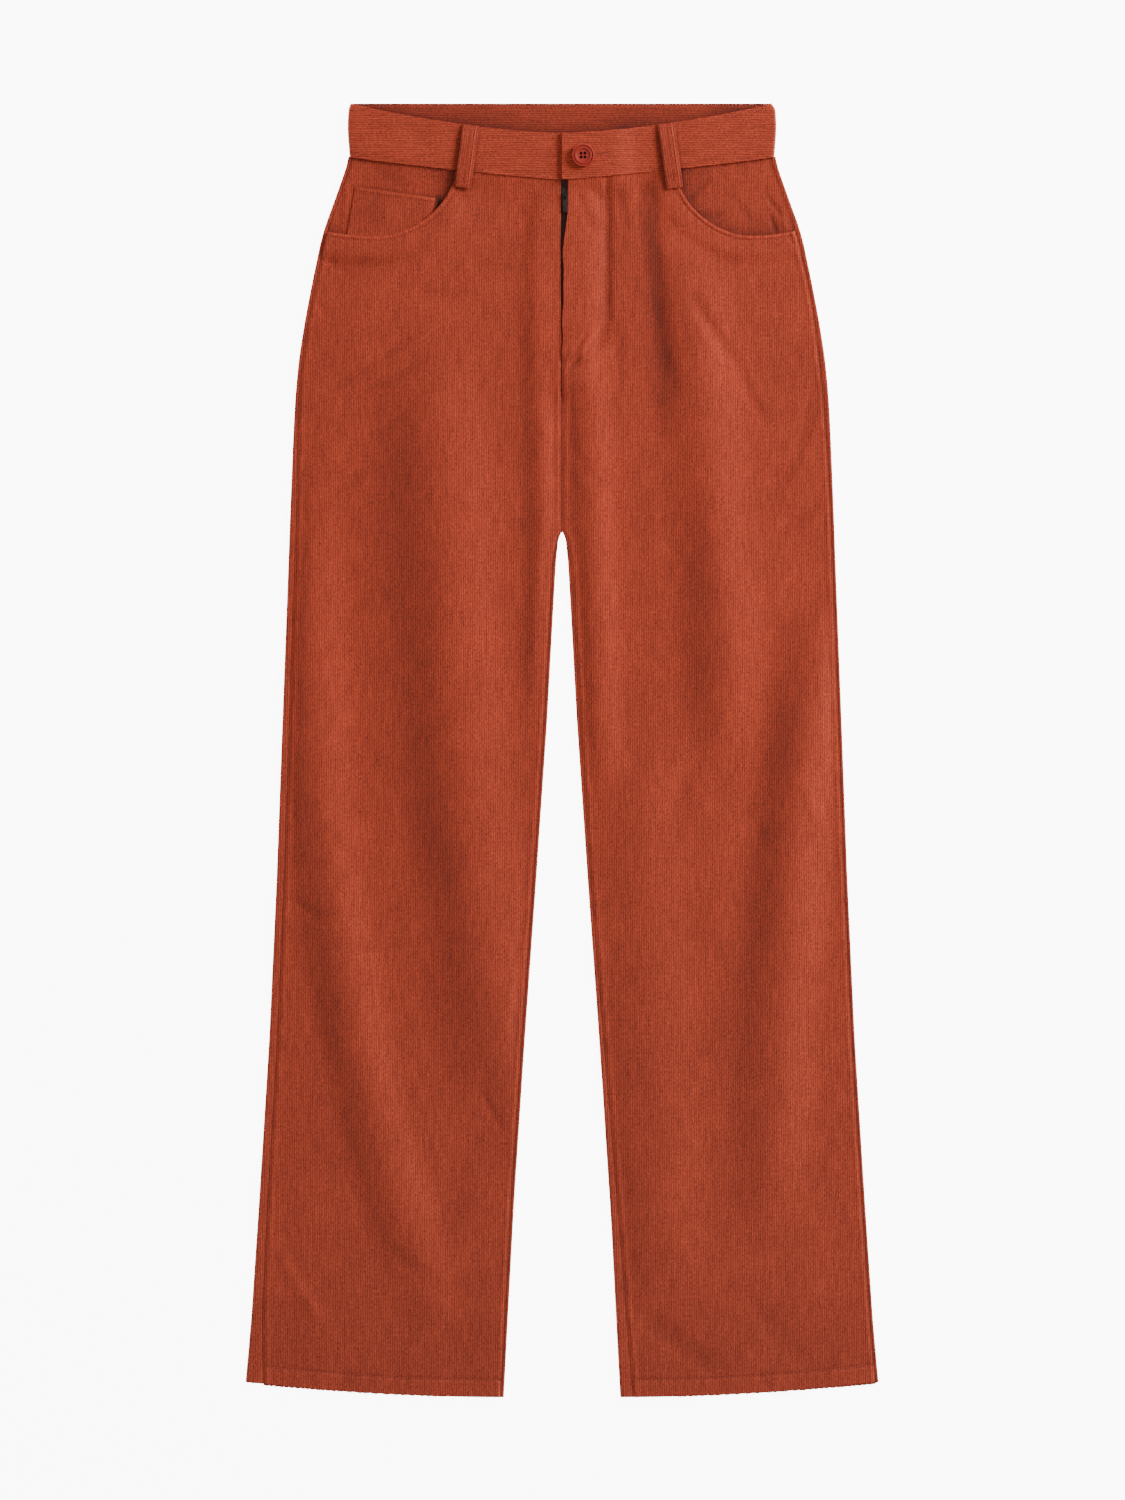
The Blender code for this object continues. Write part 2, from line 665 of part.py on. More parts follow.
def zip_slider(material):
    """A shield-shaped slider with a low bail that the pull tab hangs on."""
    low = CHAIN_TOP + GAP
    high = low + SLIDER_LENGTH
    shoulder = low + SLIDER_LENGTH * 0.55
    outline = [
        (ZIP_X - SLIDER_HALF * 0.8, low),
        (ZIP_X + SLIDER_HALF * 0.8, low),
        (ZIP_X + SLIDER_HALF, shoulder),
        (ZIP_X + SLIDER_HALF * 0.75, high),
        (ZIP_X - SLIDER_HALF * 0.75, high),
        (ZIP_X - SLIDER_HALF, shoulder),
    ]
    top = ZIP_FLOOR + SLIDER_THICK
    body = new_object("zip_slider", plate_mesh(outline, ZIP_FLOOR, top), material)
    bail = new_object("zip_slider_bail", bail_mesh(low + BAIL_INSET, top), material)
    cut_or_join(body, bail, "UNION")
    return body


def bail_mesh(low, top):
    """An arch along the slider: two feet and a bridge, drawn from the side and given its width."""
    high = low + BAIL_SPAN
    profile = [
        (low, top - 0.5),
        (low, top + BAIL_HEIGHT),
        (high, top + BAIL_HEIGHT),
        (high, top - 0.5),
        (high - BAIL_WALL, top - 0.5),
        (high - BAIL_WALL, top + BAIL_HEIGHT - BAIL_WALL),
        (low + BAIL_WALL, top + BAIL_HEIGHT - BAIL_WALL),
        (low + BAIL_WALL, top - 0.5),
    ]
    bm = bmesh.new()
    corners = [bm.verts.new(Vector((ZIP_X - BAIL_HALF, y, z)) * MM) for y, z in profile]
    base = bm.faces.new(corners)
    pushed = bmesh.ops.extrude_face_region(bm, geom=[base])["geom"]
    moved = [item for item in pushed if isinstance(item, bmesh.types.BMVert)]
    bmesh.ops.translate(bm, verts=moved, vec=(2 * BAIL_HALF * MM, 0, 0))
    bmesh.ops.recalc_face_normals(bm, faces=bm.faces)
    return bm


def pull_pivot():
    """Centre of the pull tab's top bar, under the bail's bridge."""
    top = ZIP_FLOOR + SLIDER_THICK
    back = CHAIN_TOP + GAP + BAIL_INSET + PIVOT_BACK
    return Vector((ZIP_X, back, top + (BAIL_HEIGHT - BAIL_WALL) / 2))


def zip_pull(material):
    """The pull tab, drawn about its own hinge axis, with an eye for the bail."""
    half = PULL_HALF
    bar = PULL_THICK / 2
    tip = [
        (half * math.cos(math.radians(a)), bar + half - PULL_LENGTH + half * math.sin(math.radians(a)))
        for a in range(360, 175, -30)
    ]
    outline = [(-half, bar), (half, bar)] + tip
    bm = plate_mesh(outline, -PULL_THICK / 2, PULL_THICK / 2)
    pull = new_object("zip_pull", bm, material)
    pull.location = pull_pivot() * MM
    eye_half = PULL_EYE_HALF
    eye = [(-eye_half, -PULL_EYE), (eye_half, -PULL_EYE), (eye_half, -bar), (-eye_half, -bar)]
    cutter = new_object("zip_pull_eye", plate_mesh(eye, -PULL_THICK, PULL_THICK), material)
    cutter.location = pull.location
    cut_or_join(pull, cutter, "DIFFERENCE")
    return pull


def button(material):
    """A four-hole button with a raised rim and a dished middle."""
    base = OVERLAP_Z + BAND_CLOTH / 2 + GAP
    profile = [
        (0.0, BUTTON_THICK - 1.3),
        (BUTTON_DISH - 0.8, BUTTON_THICK - 1.3),
        (BUTTON_DISH, BUTTON_THICK - 0.6),
        (BUTTON_DISH + 1.2, BUTTON_THICK - 0.5),
        (BUTTON_RADIUS - 2.2, BUTTON_THICK),
        (BUTTON_RADIUS - 1.0, BUTTON_THICK - 0.2),
        (BUTTON_RADIUS, BUTTON_THICK - 1.4),
        (BUTTON_RADIUS - 0.6, 0.5),
        (BUTTON_RADIUS - 1.6, 0.0),
        (0.0, 0.0),
    ]
    bm = bmesh.new()
    line = [bm.verts.new(Vector((radius, 0, height)) * MM) for radius, height in profile]
    edges = [bm.edges.new(pair) for pair in zip(line, line[1:])]
    bmesh.ops.spin(
        bm, geom=line + edges, cent=(0, 0, 0), axis=(0, 0, 1), angle=2 * math.pi, steps=32
    )
    bmesh.ops.remove_doubles(bm, verts=bm.verts, dist=0.00001)
    bmesh.ops.recalc_face_normals(bm, faces=bm.faces)
    obj = new_object("button", bm, material, 40)
    obj.location = (BUTTON_PLACE[0] * MM, BUTTON_PLACE[1] * MM, base * MM)
    for k in range(4):
        turn = math.radians(45 + 90 * k)
        offset = Vector((math.cos(turn), math.sin(turn), 0)) * BUTTON_HOLE_SPACING / math.sqrt(2)
        hole = new_object("button_hole_%d" % k, hole_mesh(), material)
        hole.location = obj.location + offset * MM
        cut_or_join(obj, hole, "DIFFERENCE")
    return obj


def hole_mesh():
    bm = bmesh.new()
    bmesh.ops.create_cone(
        bm,
        cap_ends=True,
        segments=10,
        radius1=BUTTON_HOLE_RADIUS * MM,
        radius2=BUTTON_HOLE_RADIUS * MM,
        depth=4 * BUTTON_THICK * MM,
    )
    return bm


def main():
    for obj in list(bpy.data.objects):
        bpy.data.objects.remove(obj, do_unlink=True)
    corduroy = new_material("rust_corduroy", RUST, 0.85)
    metal = new_material("zip_metal", DARK_METAL, 0.35, 1.0)
    tape = new_material("zip_tape", TAPE_BROWN, 0.8)
    plastic = new_material("button_plastic", BUTTON_RED, 0.4)
    for side in (RIGHT, LEFT):
        back_panel(side, corduroy)
        pocket_bearer(side, corduroy)
        front_panel(side, corduroy)
        front_loop(side, corduroy)
        zip_tape(side, tape)
    coin_pocket(corduroy)
    waistband(corduroy)
    for name, x in BACK_LOOP_X.items():
        back_loop(name, x, corduroy)
    zip_chain(metal)
    zip_slider(metal)
    zip_pull(metal)
    button(plastic)


main()
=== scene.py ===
# %% [markdown]
# # Corduroy trousers, laid flat
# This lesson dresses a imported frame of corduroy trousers. The frame already says where each panel,
# loop, button and zip part sits. What is left is what makes it look like cloth: soft folds, rolled
# edges, ribs of pile, stitching and metal. Lengths are in millimetres until a point reaches a mesh.

# %% Load the frame
import math

import bpy
import numpy as np
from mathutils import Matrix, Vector
from mathutils.bvhtree import BVHTree


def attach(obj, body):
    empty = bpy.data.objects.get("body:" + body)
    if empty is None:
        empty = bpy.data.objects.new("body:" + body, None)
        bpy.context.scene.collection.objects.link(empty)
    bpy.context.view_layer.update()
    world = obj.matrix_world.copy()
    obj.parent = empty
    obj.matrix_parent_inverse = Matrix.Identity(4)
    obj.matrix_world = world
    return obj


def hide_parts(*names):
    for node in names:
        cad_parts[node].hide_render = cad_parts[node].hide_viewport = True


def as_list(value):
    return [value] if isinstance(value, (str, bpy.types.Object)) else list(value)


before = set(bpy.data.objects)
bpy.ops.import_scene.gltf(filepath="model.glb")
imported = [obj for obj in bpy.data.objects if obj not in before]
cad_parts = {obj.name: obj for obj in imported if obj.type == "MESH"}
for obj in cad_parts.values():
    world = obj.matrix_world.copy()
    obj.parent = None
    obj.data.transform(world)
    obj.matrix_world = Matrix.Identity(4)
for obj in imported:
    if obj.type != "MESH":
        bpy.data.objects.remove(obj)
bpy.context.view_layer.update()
print("frame nodes:", sorted(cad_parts))

# %% [markdown]
# ## Camera, light and floor
# The trousers are seen from straight above, so the camera looks down with the waist at the top. A
# long lens from far away keeps the legs from leaning outwards. One broad lamp stands low at the
# upper right, which gives every fold a light side and a dark side. A bright sky fills the rest.
# The sizes in these three cells are in metres.

# %% Camera
MM = 0.001
VIEW_HEIGHT = 1.215
VIEW_SHIFT = 0.0004
CAMERA_DISTANCE = 6.0
SENSOR = 36.0

camera_data = bpy.data.cameras.new("camera")
camera_data.sensor_width = SENSOR
camera_data.lens = SENSOR * CAMERA_DISTANCE / VIEW_HEIGHT
camera = bpy.data.objects.new("camera", camera_data)
camera.location = (VIEW_SHIFT, VIEW_SHIFT, CAMERA_DISTANCE)
bpy.context.scene.collection.objects.link(camera)
bpy.context.scene.camera = camera
print("lens:", round(camera_data.lens, 1), "mm")


# %% [markdown]
# ### Lamps and sky
# A garment is lit in a studio with one large soft source at a low angle, because its folds are only a
# few millimetres high and light from above would wash them out. A sun lamp gives harder shadows, and
# a picture of a sky would need a file. A second faint lamp and a plain bright sky open the shadows.

# %% Lamps and sky
def area_lamp(name, place, target, size, power):
    """A square lamp at place that faces target."""
    bpy.ops.object.light_add(type="AREA", location=place)
    lamp = bpy.context.object
    lamp.name = name
    lamp.data.size = size
    lamp.data.energy = power
    direction = Vector(target) - Vector(place)
    lamp.rotation_euler = direction.to_track_quat("-Z", "Y").to_euler()
    print(name, "watts:", power)


area_lamp("key_lamp", (3.2, 1.9, 1.75), (0, 0, 0), 1.7, 284)
area_lamp("top_lamp", (-0.6, 0.8, 3.6), (0, 0, 0), 2.2, 40)

SKY_COLOR = (1.0, 0.985, 0.97, 1.0)
SKY_STRENGTH = 0.36

sky = bpy.data.worlds.new("studio")
sky.use_nodes = True
background = sky.node_tree.nodes["Background"]
background.inputs["Color"].default_value = SKY_COLOR
background.inputs["Strength"].default_value = SKY_STRENGTH
bpy.context.scene.world = sky

# %% [markdown]
# ### Floor
# The trousers lie on a white table. A white paint alone renders as grey under a low lamp, so the table
# also glows a little.

# %% Floor
FLOOR_SIZE, FLOOR_DROP, FLOOR_GLOW = 14.0, 0.0004, 9.0

bpy.ops.object.select_all(action="DESELECT")
bpy.ops.mesh.primitive_plane_add(size=FLOOR_SIZE, location=(0, 0, -FLOOR_DROP))
floor = bpy.context.object
floor.name = "floor"
floor_paint = bpy.data.materials.new("white_floor")
floor_paint.use_nodes = True
floor_shader = floor_paint.node_tree.nodes["Principled BSDF"]
floor_shader.inputs["Base Color"].default_value = (0.95, 0.95, 0.95, 1.0)
floor_shader.inputs["Roughness"].default_value = 0.9
floor_shader.inputs["Emission Color"].default_value = (1.0, 1.0, 1.0, 1.0)
floor_shader.inputs["Emission Strength"].default_value = FLOOR_GLOW
floor.data.materials.append(floor_paint)
print("floor:", FLOOR_SIZE, "m wide")

# %% [markdown]
# ## Sizes of the garment
# A pattern cutter measures a leg by levels: how wide it is at the hip, thigh, knee and hem. The same
# table drives every panel here, so neighbouring pieces always meet at one seam. The last columns
# say how far the back panel rolls round to the front before it meets the front panel.

# %% Named sizes
RIGHT, LEFT = -1, 1
SIDE_NAMES = {RIGHT: "right", LEFT: "left"}
CLOTH = 1.2
GAP = 0.3
EDGE_RADIUS = (CLOTH + GAP) / 2
QUARTER_TURN = math.pi * EDGE_RADIUS / 2
TOP_LAYER = CLOTH + GAP + CLOTH / 2
RIB = 1.85

TOP_EDGE = 523.7
WAIST_HALF = 172.5
WAIST_DIP, WAIST_DIP_POWER = 24.0, 1.6
BAND_SEAM, BAND_SEAM_DIP, BAND_SEAM_POWER = 480.0, 18.0, 1.2
BAND_CLOTH = 2.4
WAIST_RISE, WAIST_RISE_START, WAIST_RISE_END = 1.5, 446.0, 472.0
BACK_BAND_Z = WAIST_RISE + BAND_CLOTH / 2
FRONT_BAND_Z = BACK_BAND_Z + BAND_CLOTH + GAP
OVERLAP_Z = FRONT_BAND_Z + BAND_CLOTH + GAP
UNDERLAP_END = 36.0

HEM, HEM_RISE, HEM_INNER, HEM_WIDTH = -523.7, 13.0, 47.0, 210.0
HEM_TURNING = 14.0
CROTCH = 178.0
FLY_END = 316.0
FLY_STITCH_X, FLY_CURVE_X, FLY_TURN_Y, FLY_CURVE_DROP = 36.5, 4.0, 352.0, 40.0
ZIP_X, ZIP_FLOOR = 2.4, 2.4
LOOP_HALF_WIDTH = 6.5
FRONT_LOOPS = {RIGHT: (-73.5, -80.2, 455.6), LEFT: (84.2, 91.5, 455.2)}

# %% [markdown]
# ### Levels of a leg
# Each row is one height, in millimetres from the middle of the garment. outer and inner are how far
# the leg's two edges are from the centre line. The four others are how wide a strip of the back panel
# shows on the front, at the side seam and the inseam of each leg. Measured rows are easier to correct
# than a drawn outline, and all panels read the same ones.

# %% Levels of a leg
LEVEL_COLUMNS = "y outer inner side_right side_left inseam_right inseam_left".split()
LEVELS = np.array(
    [
        (480, 172.0, 0.0, 3.0, 4.0, 0.0, 0.0),
        (446, 184.0, 0.0, 3.0, 4.0, 0.0, 0.0),
        (419, 194.0, 0.0, 3.5, 4.0, 0.0, 0.0),
        (381, 202.0, 0.0, 2.5, 2.5, 0.0, 0.0),
        (349, 208.2, 0.0, 2.2, 3.0, 0.0, 0.0),
        (316, 213.4, 0.0, 2.5, 4.5, 0.0, 0.0),
        (284, 216.3, 0.0, 2.5, 4.0, 0.0, 0.0),
        (251, 217.9, 0.0, 3.5, 3.0, 0.0, 0.0),
        (204, 219.8, 0.0, 5.0, 2.0, 0.0, 0.0),
        (178, 220.8, 0.0, 5.0, 2.0, 0.17, 0.17),
        (171, 221.0, 2.8, 5.0, 2.0, 0.17, 0.17),
        (154, 221.6, 4.6, 5.0, 2.0, 2.0, 2.0),
        (122, 222.8, 6.5, 5.0, 2.0, 2.0, 2.0),
        (25, 226.5, 11.8, 5.5, 2.0, 2.0, 2.0),
        (-105, 231.3, 20.7, 6.0, 2.0, 2.0, 2.2),
        (-235, 237.3, 30.0, 6.5, 2.0, 2.0, 3.5),
        (-364, 245.4, 38.5, 7.0, 2.0, 2.0, 6.0),
        (-461, 251.9, 43.7, 9.0, 2.0, 2.0, 8.5),
        (-524, 257.5, 47.0, 16.0, 2.0, 2.0, 10.5),
    ]
)

# %% [markdown]
# ### Edges of the fly
# right and left are where each front panel ends at the fly, as signed distances from the centre line.
# The left one stands back at the top, where the pull tab needs room to swing.

# %% Edges of the fly
FLY_COLUMNS = "y right left".split()
FLY = np.array(
    [
        (462, 0.8, 4.9),
        (434, 0.8, 4.6),
        (425, 1.2, 3.1),
        (414, 1.3, 1.6),
        (405, 1.3, 1.2),
        (381, 1.1, 1.0),
        (349, 0.6, 0.8),
        (316, 0.02, 0.1),
        (284, 0.01, 0.01),
    ]
)


# %% [markdown]
# ### Reading the tables
# A table gives straight lines between its rows, and cloth has none. These helpers read a column at any
# height and ease its corners. smooth and bell are the two soft steps from which every fold, groove
# and shade below is made: one rises from 0 to 1, the other is a rounded bump.

# %% Reading the tables
def smooth(value):
    share = np.clip(value, 0, 1)
    return share * share * (3 - 2 * share)


def mix(first, second, share):
    return first + (second - first) * share


def bell(distance, half_width):
    """1 on a line, falling softly to 0 at half_width from it."""
    return 0.5 + 0.5 * np.cos(np.pi * np.clip(np.abs(distance) / half_width, 0, 1))


def from_table(table, names, y, column):
    rows = table[::-1]
    return np.interp(y, rows[:, 0], rows[:, names.index(column)])


def level(y, column):
    """A leg size at height y, with the table's corners eased."""
    reach = 0.0 if column in ("inner", "inseam_right", "inseam_left") else 9.0
    return sum(from_table(LEVELS, LEVEL_COLUMNS, y + reach * k, column) for k in (-1, 0, 1)) / 3


def band_seam(x):
    return BAND_SEAM - BAND_SEAM_DIP * (1 - (np.abs(x) / WAIST_HALF) ** BAND_SEAM_POWER)


def front_top_edge(x):
    return TOP_EDGE - WAIST_DIP * (1 - (np.abs(x) / WAIST_HALF) ** WAIST_DIP_POWER)


def hem_line(x):
    return HEM + HEM_RISE * ((np.abs(x) - HEM_INNER) / HEM_WIDTH) ** 2


def waist_rise(y):
    return WAIST_RISE * smooth((y - WAIST_RISE_START) / (WAIST_RISE_END - WAIST_RISE_START))


print("leg width at the crotch in mm:", float(level(CROTCH, "outer")))

# %% [markdown]
# ## Pocket openings
# Each front panel has a scoop cut out of its top outer corner. Near the waist the edge drops almost
# straight down, then sweeps out to the side seam. A power curve with an exponent a little under two
# has that shape, so a few numbers draw the whole edge.

# %% The scoop
SCOOP_TOP, SCOOP_SIDE = 471.0, 419.0
SCOOPS = {
    RIGHT: {"top_x": 86.0, "low_x": 150.0, "low_y": 416.0, "side_y": 420.5, "power": 1.8},
    LEFT: {"top_x": 92.0, "low_x": 152.0, "low_y": 416.5, "side_y": 421.5, "power": 1.8},
}


def scoop_y(x, side, margin=0.0):
    """Height of the opening's edge at x, or of a line that far below it."""
    scoop = SCOOPS[side]
    low = scoop["low_y"] - margin
    away = np.abs(x)
    seam_x = level(SCOOP_SIDE, "outer")
    rise = np.clip((away - scoop["low_x"]) / (seam_x - scoop["low_x"]), 0, 1) ** 2
    across = np.clip((scoop["low_x"] - away) / (scoop["low_x"] - scoop["top_x"] + margin), 0, 1)
    drop = (1 - across ** scoop["power"]) ** (1 / scoop["power"])
    inner = SCOOP_TOP - (SCOOP_TOP - low) * drop
    return np.where(away >= scoop["low_x"], low + (scoop["side_y"] - scoop["low_y"]) * rise, inner)


# %% Distance from the scoop
def scoop_distance(x, y, side):
    """Roughly how far a point of the front panel is outside the opening."""
    scoop = SCOOPS[side]
    across = np.clip((scoop["low_x"] - np.abs(x)) / (scoop["low_x"] - scoop["top_x"]), 0, None)
    down = np.clip((SCOOP_TOP - y) / (SCOOP_TOP - scoop["low_y"]), 0, None)
    reach = (across ** scoop["power"] + down ** scoop["power"]) ** (1 / scoop["power"])
    inner = (reach - 1) * (SCOOP_TOP - scoop["low_y"])
    return np.where(np.abs(x) >= scoop["low_x"], scoop_y(x, side) - y, inner)


# %% [markdown]
# ## Folds and creases
# Cloth that lies on a table keeps long soft ridges where the legs were pressed and short sharp
# creases near the crotch, hips and knees. Each one is a line with a half width and a height, and no
# two are alike. Negative heights are troughs. The table is laid out as a stylist would smooth it.

# %% Table of folds
# y_top, y_bottom, x_top, x_mid, x_bottom, half_width, height
BROAD_FOLDS = (
    (380, -330, -106, -86, -46, 55, 3.3),
    (260, -500, -203, -187, -90, 36, 2.9),
    (420, 0, -26, -16, -22, 18, 1.5),
    (450, -20, 86, 119, 128, 44, 3.1),
    (150, -420, 214, 182, 168, 40, 3.3),
    (400, -60, 18, 25, 34, 24, 1.9),
    (40, -490, 62, 74, 88, 44, 1.8),
)
# x_start, y_start, x_end, y_end, half_width, height
FINE_CREASES = (
    (-196, 288, -107, 348, 7, -0.55),
    (-176, 284, -103, 322, 6, -0.40),
    (-160, 250, -100, 300, 8, -0.30),
    (-212, 190, -150, 235, 9, -0.45),
    (-214, 60, -165, 120, 10, -0.40),
    (-214, -163, -100, -152, 4, -1.05),
    (-222, -118, -196, -136, 5, -0.55),
    (-105, -152, -62, -156, 4, -0.45),
    (-205, -130, -150, -140, 8, -0.25),
    (-66, -275, -50, -305, 6, -0.35),
    (-150, -395, -90, -440, 11, -0.35),
    (-232, -400, -190, -470, 8, 0.35),
    (104, 372, 144, 308, 9, -0.75),
    (144, 308, 164, 267, 7, -0.55),
    (213, 308, 189, 235, 9, -0.60),
    (189, 235, 168, 203, 8, -0.45),
    (216, 205, 176, 176, 8, -0.45),
    (212, 120, 170, 90, 10, -0.40),
    (67, 462, 74, 385, 13, -1.30),
    (74, 400, 86, 290, 14, -1.10),
    (120, 30, 90, -60, 14, -0.35),
    (62, -455, 128, -502, 12, -0.70),
    (150, -440, 200, -500, 12, -0.40),
    (210, -60, 190, -20, 9, 0.35),
    (2, 307, 15, 319, 2.6, -0.90),
    (6, 314, 20, 313, 2.4, -0.55),
    (22, 340, 8, 318, 4.0, -0.50),
    (34, 345, 20, 322, 4.5, -0.55),
    (44, 330, 48, 300, 4.0, -0.45),
    (6, 250, 30, 214, 8, -0.35),
    (-8, 205, -42, 178, 9, -0.35),
    (184, 417, 199, 398, 4, -0.60),
    (193, 405, 206, 374, 4.5, -0.55),
    (200, 380, 210, 345, 4.5, -0.40),
    (206, 352, 212, 310, 5, -0.40),
    (-196, 402, -176, 388, 5, -0.35),
    (-204, 372, -190, 352, 5, -0.30),
    (45, 452, 52, 425, 6, -0.45),
    (12, 455, 26, 418, 6, -0.30),
    (41, 350, 50, 318, 5, -0.45),
    (-20, 452, -30, 420, 6, -0.30),
)

print("folds:", len(BROAD_FOLDS), "creases:", len(FINE_CREASES))


# %% [markdown]
# ### Reading the folds
# A long fold is a bump across a curved line, and a short crease is a bump across a nearly straight
# one. Sculpting would give the same shapes by hand, but a rule can be read, moved and used again for
# the height, for the tone and for the back. slow_ripple adds sine waves of mixed lengths, and its seed
# keeps them the same each time.

# %% Reading the folds
def along_curve(x, y, y_top, y_bottom, x_top, x_mid, x_bottom, half_width):
    """1 on the middle of a curved band, falling softly to 0 at its sides and ends."""
    t = (y_top - y) / (y_top - y_bottom)
    middle = x_top * (2 * t - 1) * (t - 1) + x_mid * 4 * t * (1 - t) + x_bottom * t * (2 * t - 1)
    return smooth(t / 0.22) * smooth((1 - t) / 0.22) * bell(x - middle, half_width)


def broad_folds(x, y):
    """Height of the long soft ridges."""
    height = np.zeros_like(x)
    for fold in BROAD_FOLDS:
        height += fold[-1] * along_curve(x, y, *fold[:-1])
    return height


def fine_creases(x, y, table=FINE_CREASES):
    """Height of the short creases, each deepest at its middle."""
    height = np.zeros_like(x)
    for x_start, y_start, x_end, y_end, half_width, tall in table:
        run = np.array((x_end - x_start, y_end - y_start), float)
        length = np.hypot(*run)
        along = ((x - x_start) * run[0] + (y - y_start) * run[1]) / length
        away = ((x - x_start) * -run[1] + (y - y_start) * run[0]) / length
        away = away + 0.02 * length * np.sin(np.pi * along / length)
        start = smooth((along + half_width) / (0.4 * length))
        end = smooth((length + half_width - along) / (0.4 * length))
        height += tall * start * end * bell(away, half_width)
    return height


def slow_ripple(x, y, seed):
    """Gentle unevenness, so that no stretch of cloth is quite flat."""
    waves = np.random.default_rng(seed)
    total = np.zeros_like(x)
    for _ in range(9):
        length = waves.uniform(38, 120)
        turn = waves.uniform(-0.5, 0.5)
        phase = waves.uniform(0, 2 * np.pi)
        total += np.sin(2 * np.pi * (x * np.cos(turn) + y * 0.45 * np.sin(turn)) / length + phase)
    return total / 9


print("highest broad fold in mm:", max(fold[-1] for fold in BROAD_FOLDS))

# %% [markdown]
# ## Painted fold shading
# Broad soft bands of painted shade and painted light follow the folds: shade on the sides that face away
# from the key lamp and light on the sides that face it. They are colour, not height, so they have a
# table of their own.

# %% Table of painted fold bands
# y_top, y_bottom, x_top, x_mid, x_bottom, half_width, lightness
PAINTED_FOLD_BANDS = (
    (330, -135, -133, -130, -86, 42, -0.120),
    (-20, -330, -112, -76, -44, 30, -0.150),
    (300, -20, -75, -62, -58, 20, 0.060),
    (380, -60, -38, -28, -26, 13, -0.070),
    (462, 240, 66, 74, 88, 15, -0.230),
    (215, -10, 103, 117, 107, 28, -0.150),
    (300, 30, 40, 45, 42, 26, 0.080),
    (122, -320, 209, 161, 130, 28, -0.140),
    (405, 260, 96, 104, 112, 20, -0.090),
    (350, 210, 196, 190, 180, 16, -0.060),
    (165, -20, 194, 160, 132, 22, 0.055),
    (-190, -480, 34, 46, 58, 20, -0.080),
    (-70, -440, -212, -180, -128, 24, -0.030),
    (230, -455, -188, -147, -87, 22, 0.060),
    (470, 300, 10, 12, 14, 16, 0.050),
    (460, 330, 37, 38, 36, 8, -0.210),
    (440, 330, -120, -122, -118, 30, 0.030),
    (318, 170, 6, 6, 5, 7, -0.170),
    (500, 120, 22, 24, 30, 12, 0.050),
    (300, 60, -14, -12, -12, 10, 0.060),
    (240, 100, -120, -118, -108, 26, -0.045),
    (60, -140, 150, 140, 132, 30, 0.050),
    (-250, -420, -30, -60, -100, 26, -0.050),
    (-440, -505, 110, 120, 130, 44, -0.050),
    (430, 250, 150, 168, 180, 24, -0.050),
    (440, 360, -190, -180, -176, 22, -0.060),
)


# Painted shade and painted light along the folds, summed from the bands above.
def painted_fold_shading(x, y):
    return sum(band[-1] * along_curve(x, y, *band[:-1]) for band in PAINTED_FOLD_BANDS)


print("stroked bands:", len(PAINTED_FOLD_BANDS))


# %% [markdown]
# ## How high each layer of the front lies
# The front is lifted by whatever is under it: the pocket bearer near the opening, the zip beside the
# fly and the waistband that it is sewn to. Each lift fades out softly, as a cloth bridges an edge.


# %% Lift of the front panels
def pocket_lift(x, y, side):
    near = smooth(1 - (scoop_distance(x, y, side) - 13) / 14)
    over_coin = 1.3 * np.clip((np.abs(x) - 80) / 6, 0, 1) if side == RIGHT else 0.0
    return (1.65 + over_coin) * near


def fly_lift(x, y, side):
    top = ZIP_FLOOR + 1.0
    if side == LEFT:
        top = ZIP_FLOOR + 2.0 + 0.8 * smooth((y - 425.8) / 12)
    height = top + GAP + CLOTH / 2 - TOP_LAYER - waist_rise(y) + 0.1
    return height * smooth((y - FLY_END + 40) / 24) * smooth(1 - (np.abs(x) - 18.6) / 18)


def band_lift(x, y, side):
    below = band_seam(x) - y
    lift = (FRONT_BAND_Z - TOP_LAYER - WAIST_RISE) * smooth(1 - below / 30)
    if side == LEFT:
        over = (OVERLAP_Z - FRONT_BAND_Z) * smooth(1 - below / 24)
        lift = lift + over * smooth(1 - (np.abs(x) - UNDERLAP_END - 4) / 22)
    return lift


# %% [markdown]
# ### Tone of the pile
# The folds are painted lighter on slopes that face the key lamp and darker on those that face away, and
# the creases are painted dark. This painted shade is colour and not light: it stays where it is if
# the lamp is moved. It is summed with the painted fold bands. Painted light also falls off from the
# upper right towards the hems, and a random unevenness of tone is added.

# %% Tone of the pile
def painted_shade_and_tone(x, y):
    """Painted shade and light on the pile: lighter on slopes that face the key lamp, darker in creases."""
    step = 2.0
    slope = (broad_folds(x + step, y) - broad_folds(x - step, y)) / (2 * step)
    fine_slope = (fine_creases(x + step, y) - fine_creases(x - step, y)) / (2 * step)
    # Painted light grows towards the waist and the upper right. Painted shade darkens the hems and the creases.
    # The patches are random unevenness of tone.
    painted_lamp_falloff = 0.05 * smooth((y + 524) / 700) * smooth((x + 220) / 440)
    painted_hem_shade = 0.07 * smooth((-420 - y) / 60)
    patches = 0.05 * slow_ripple(x, y, 23)
    painted_crease_shade = 0.13 * fine_creases(x, y)
    return painted_fold_shading(x, y) - 1.1 * slope - 1.1 * fine_slope + painted_crease_shade + painted_lamp_falloff - painted_hem_shade + patches


# %% [markdown]
# ### Hems, seams and rims
# Sewing pulls cloth down along its line, and the layers beside it puff up. A hem is two layers thick
# up to its stitches, and the sewing twists it into a slight rope. Each is added to the height as a
# soft groove or ridge, since a modelled seam allowance would be hidden anyway.

# %% Hems, seams and rims
def soft_highest(*heights):
    """The highest of several heights, with the corners between them eased."""
    stack = np.stack(np.broadcast_arrays(*heights))
    top = stack.max(0)
    return top + 0.18 * np.log(np.exp((stack - top) / 0.18).sum(0)) - 0.18 * np.log(len(heights))


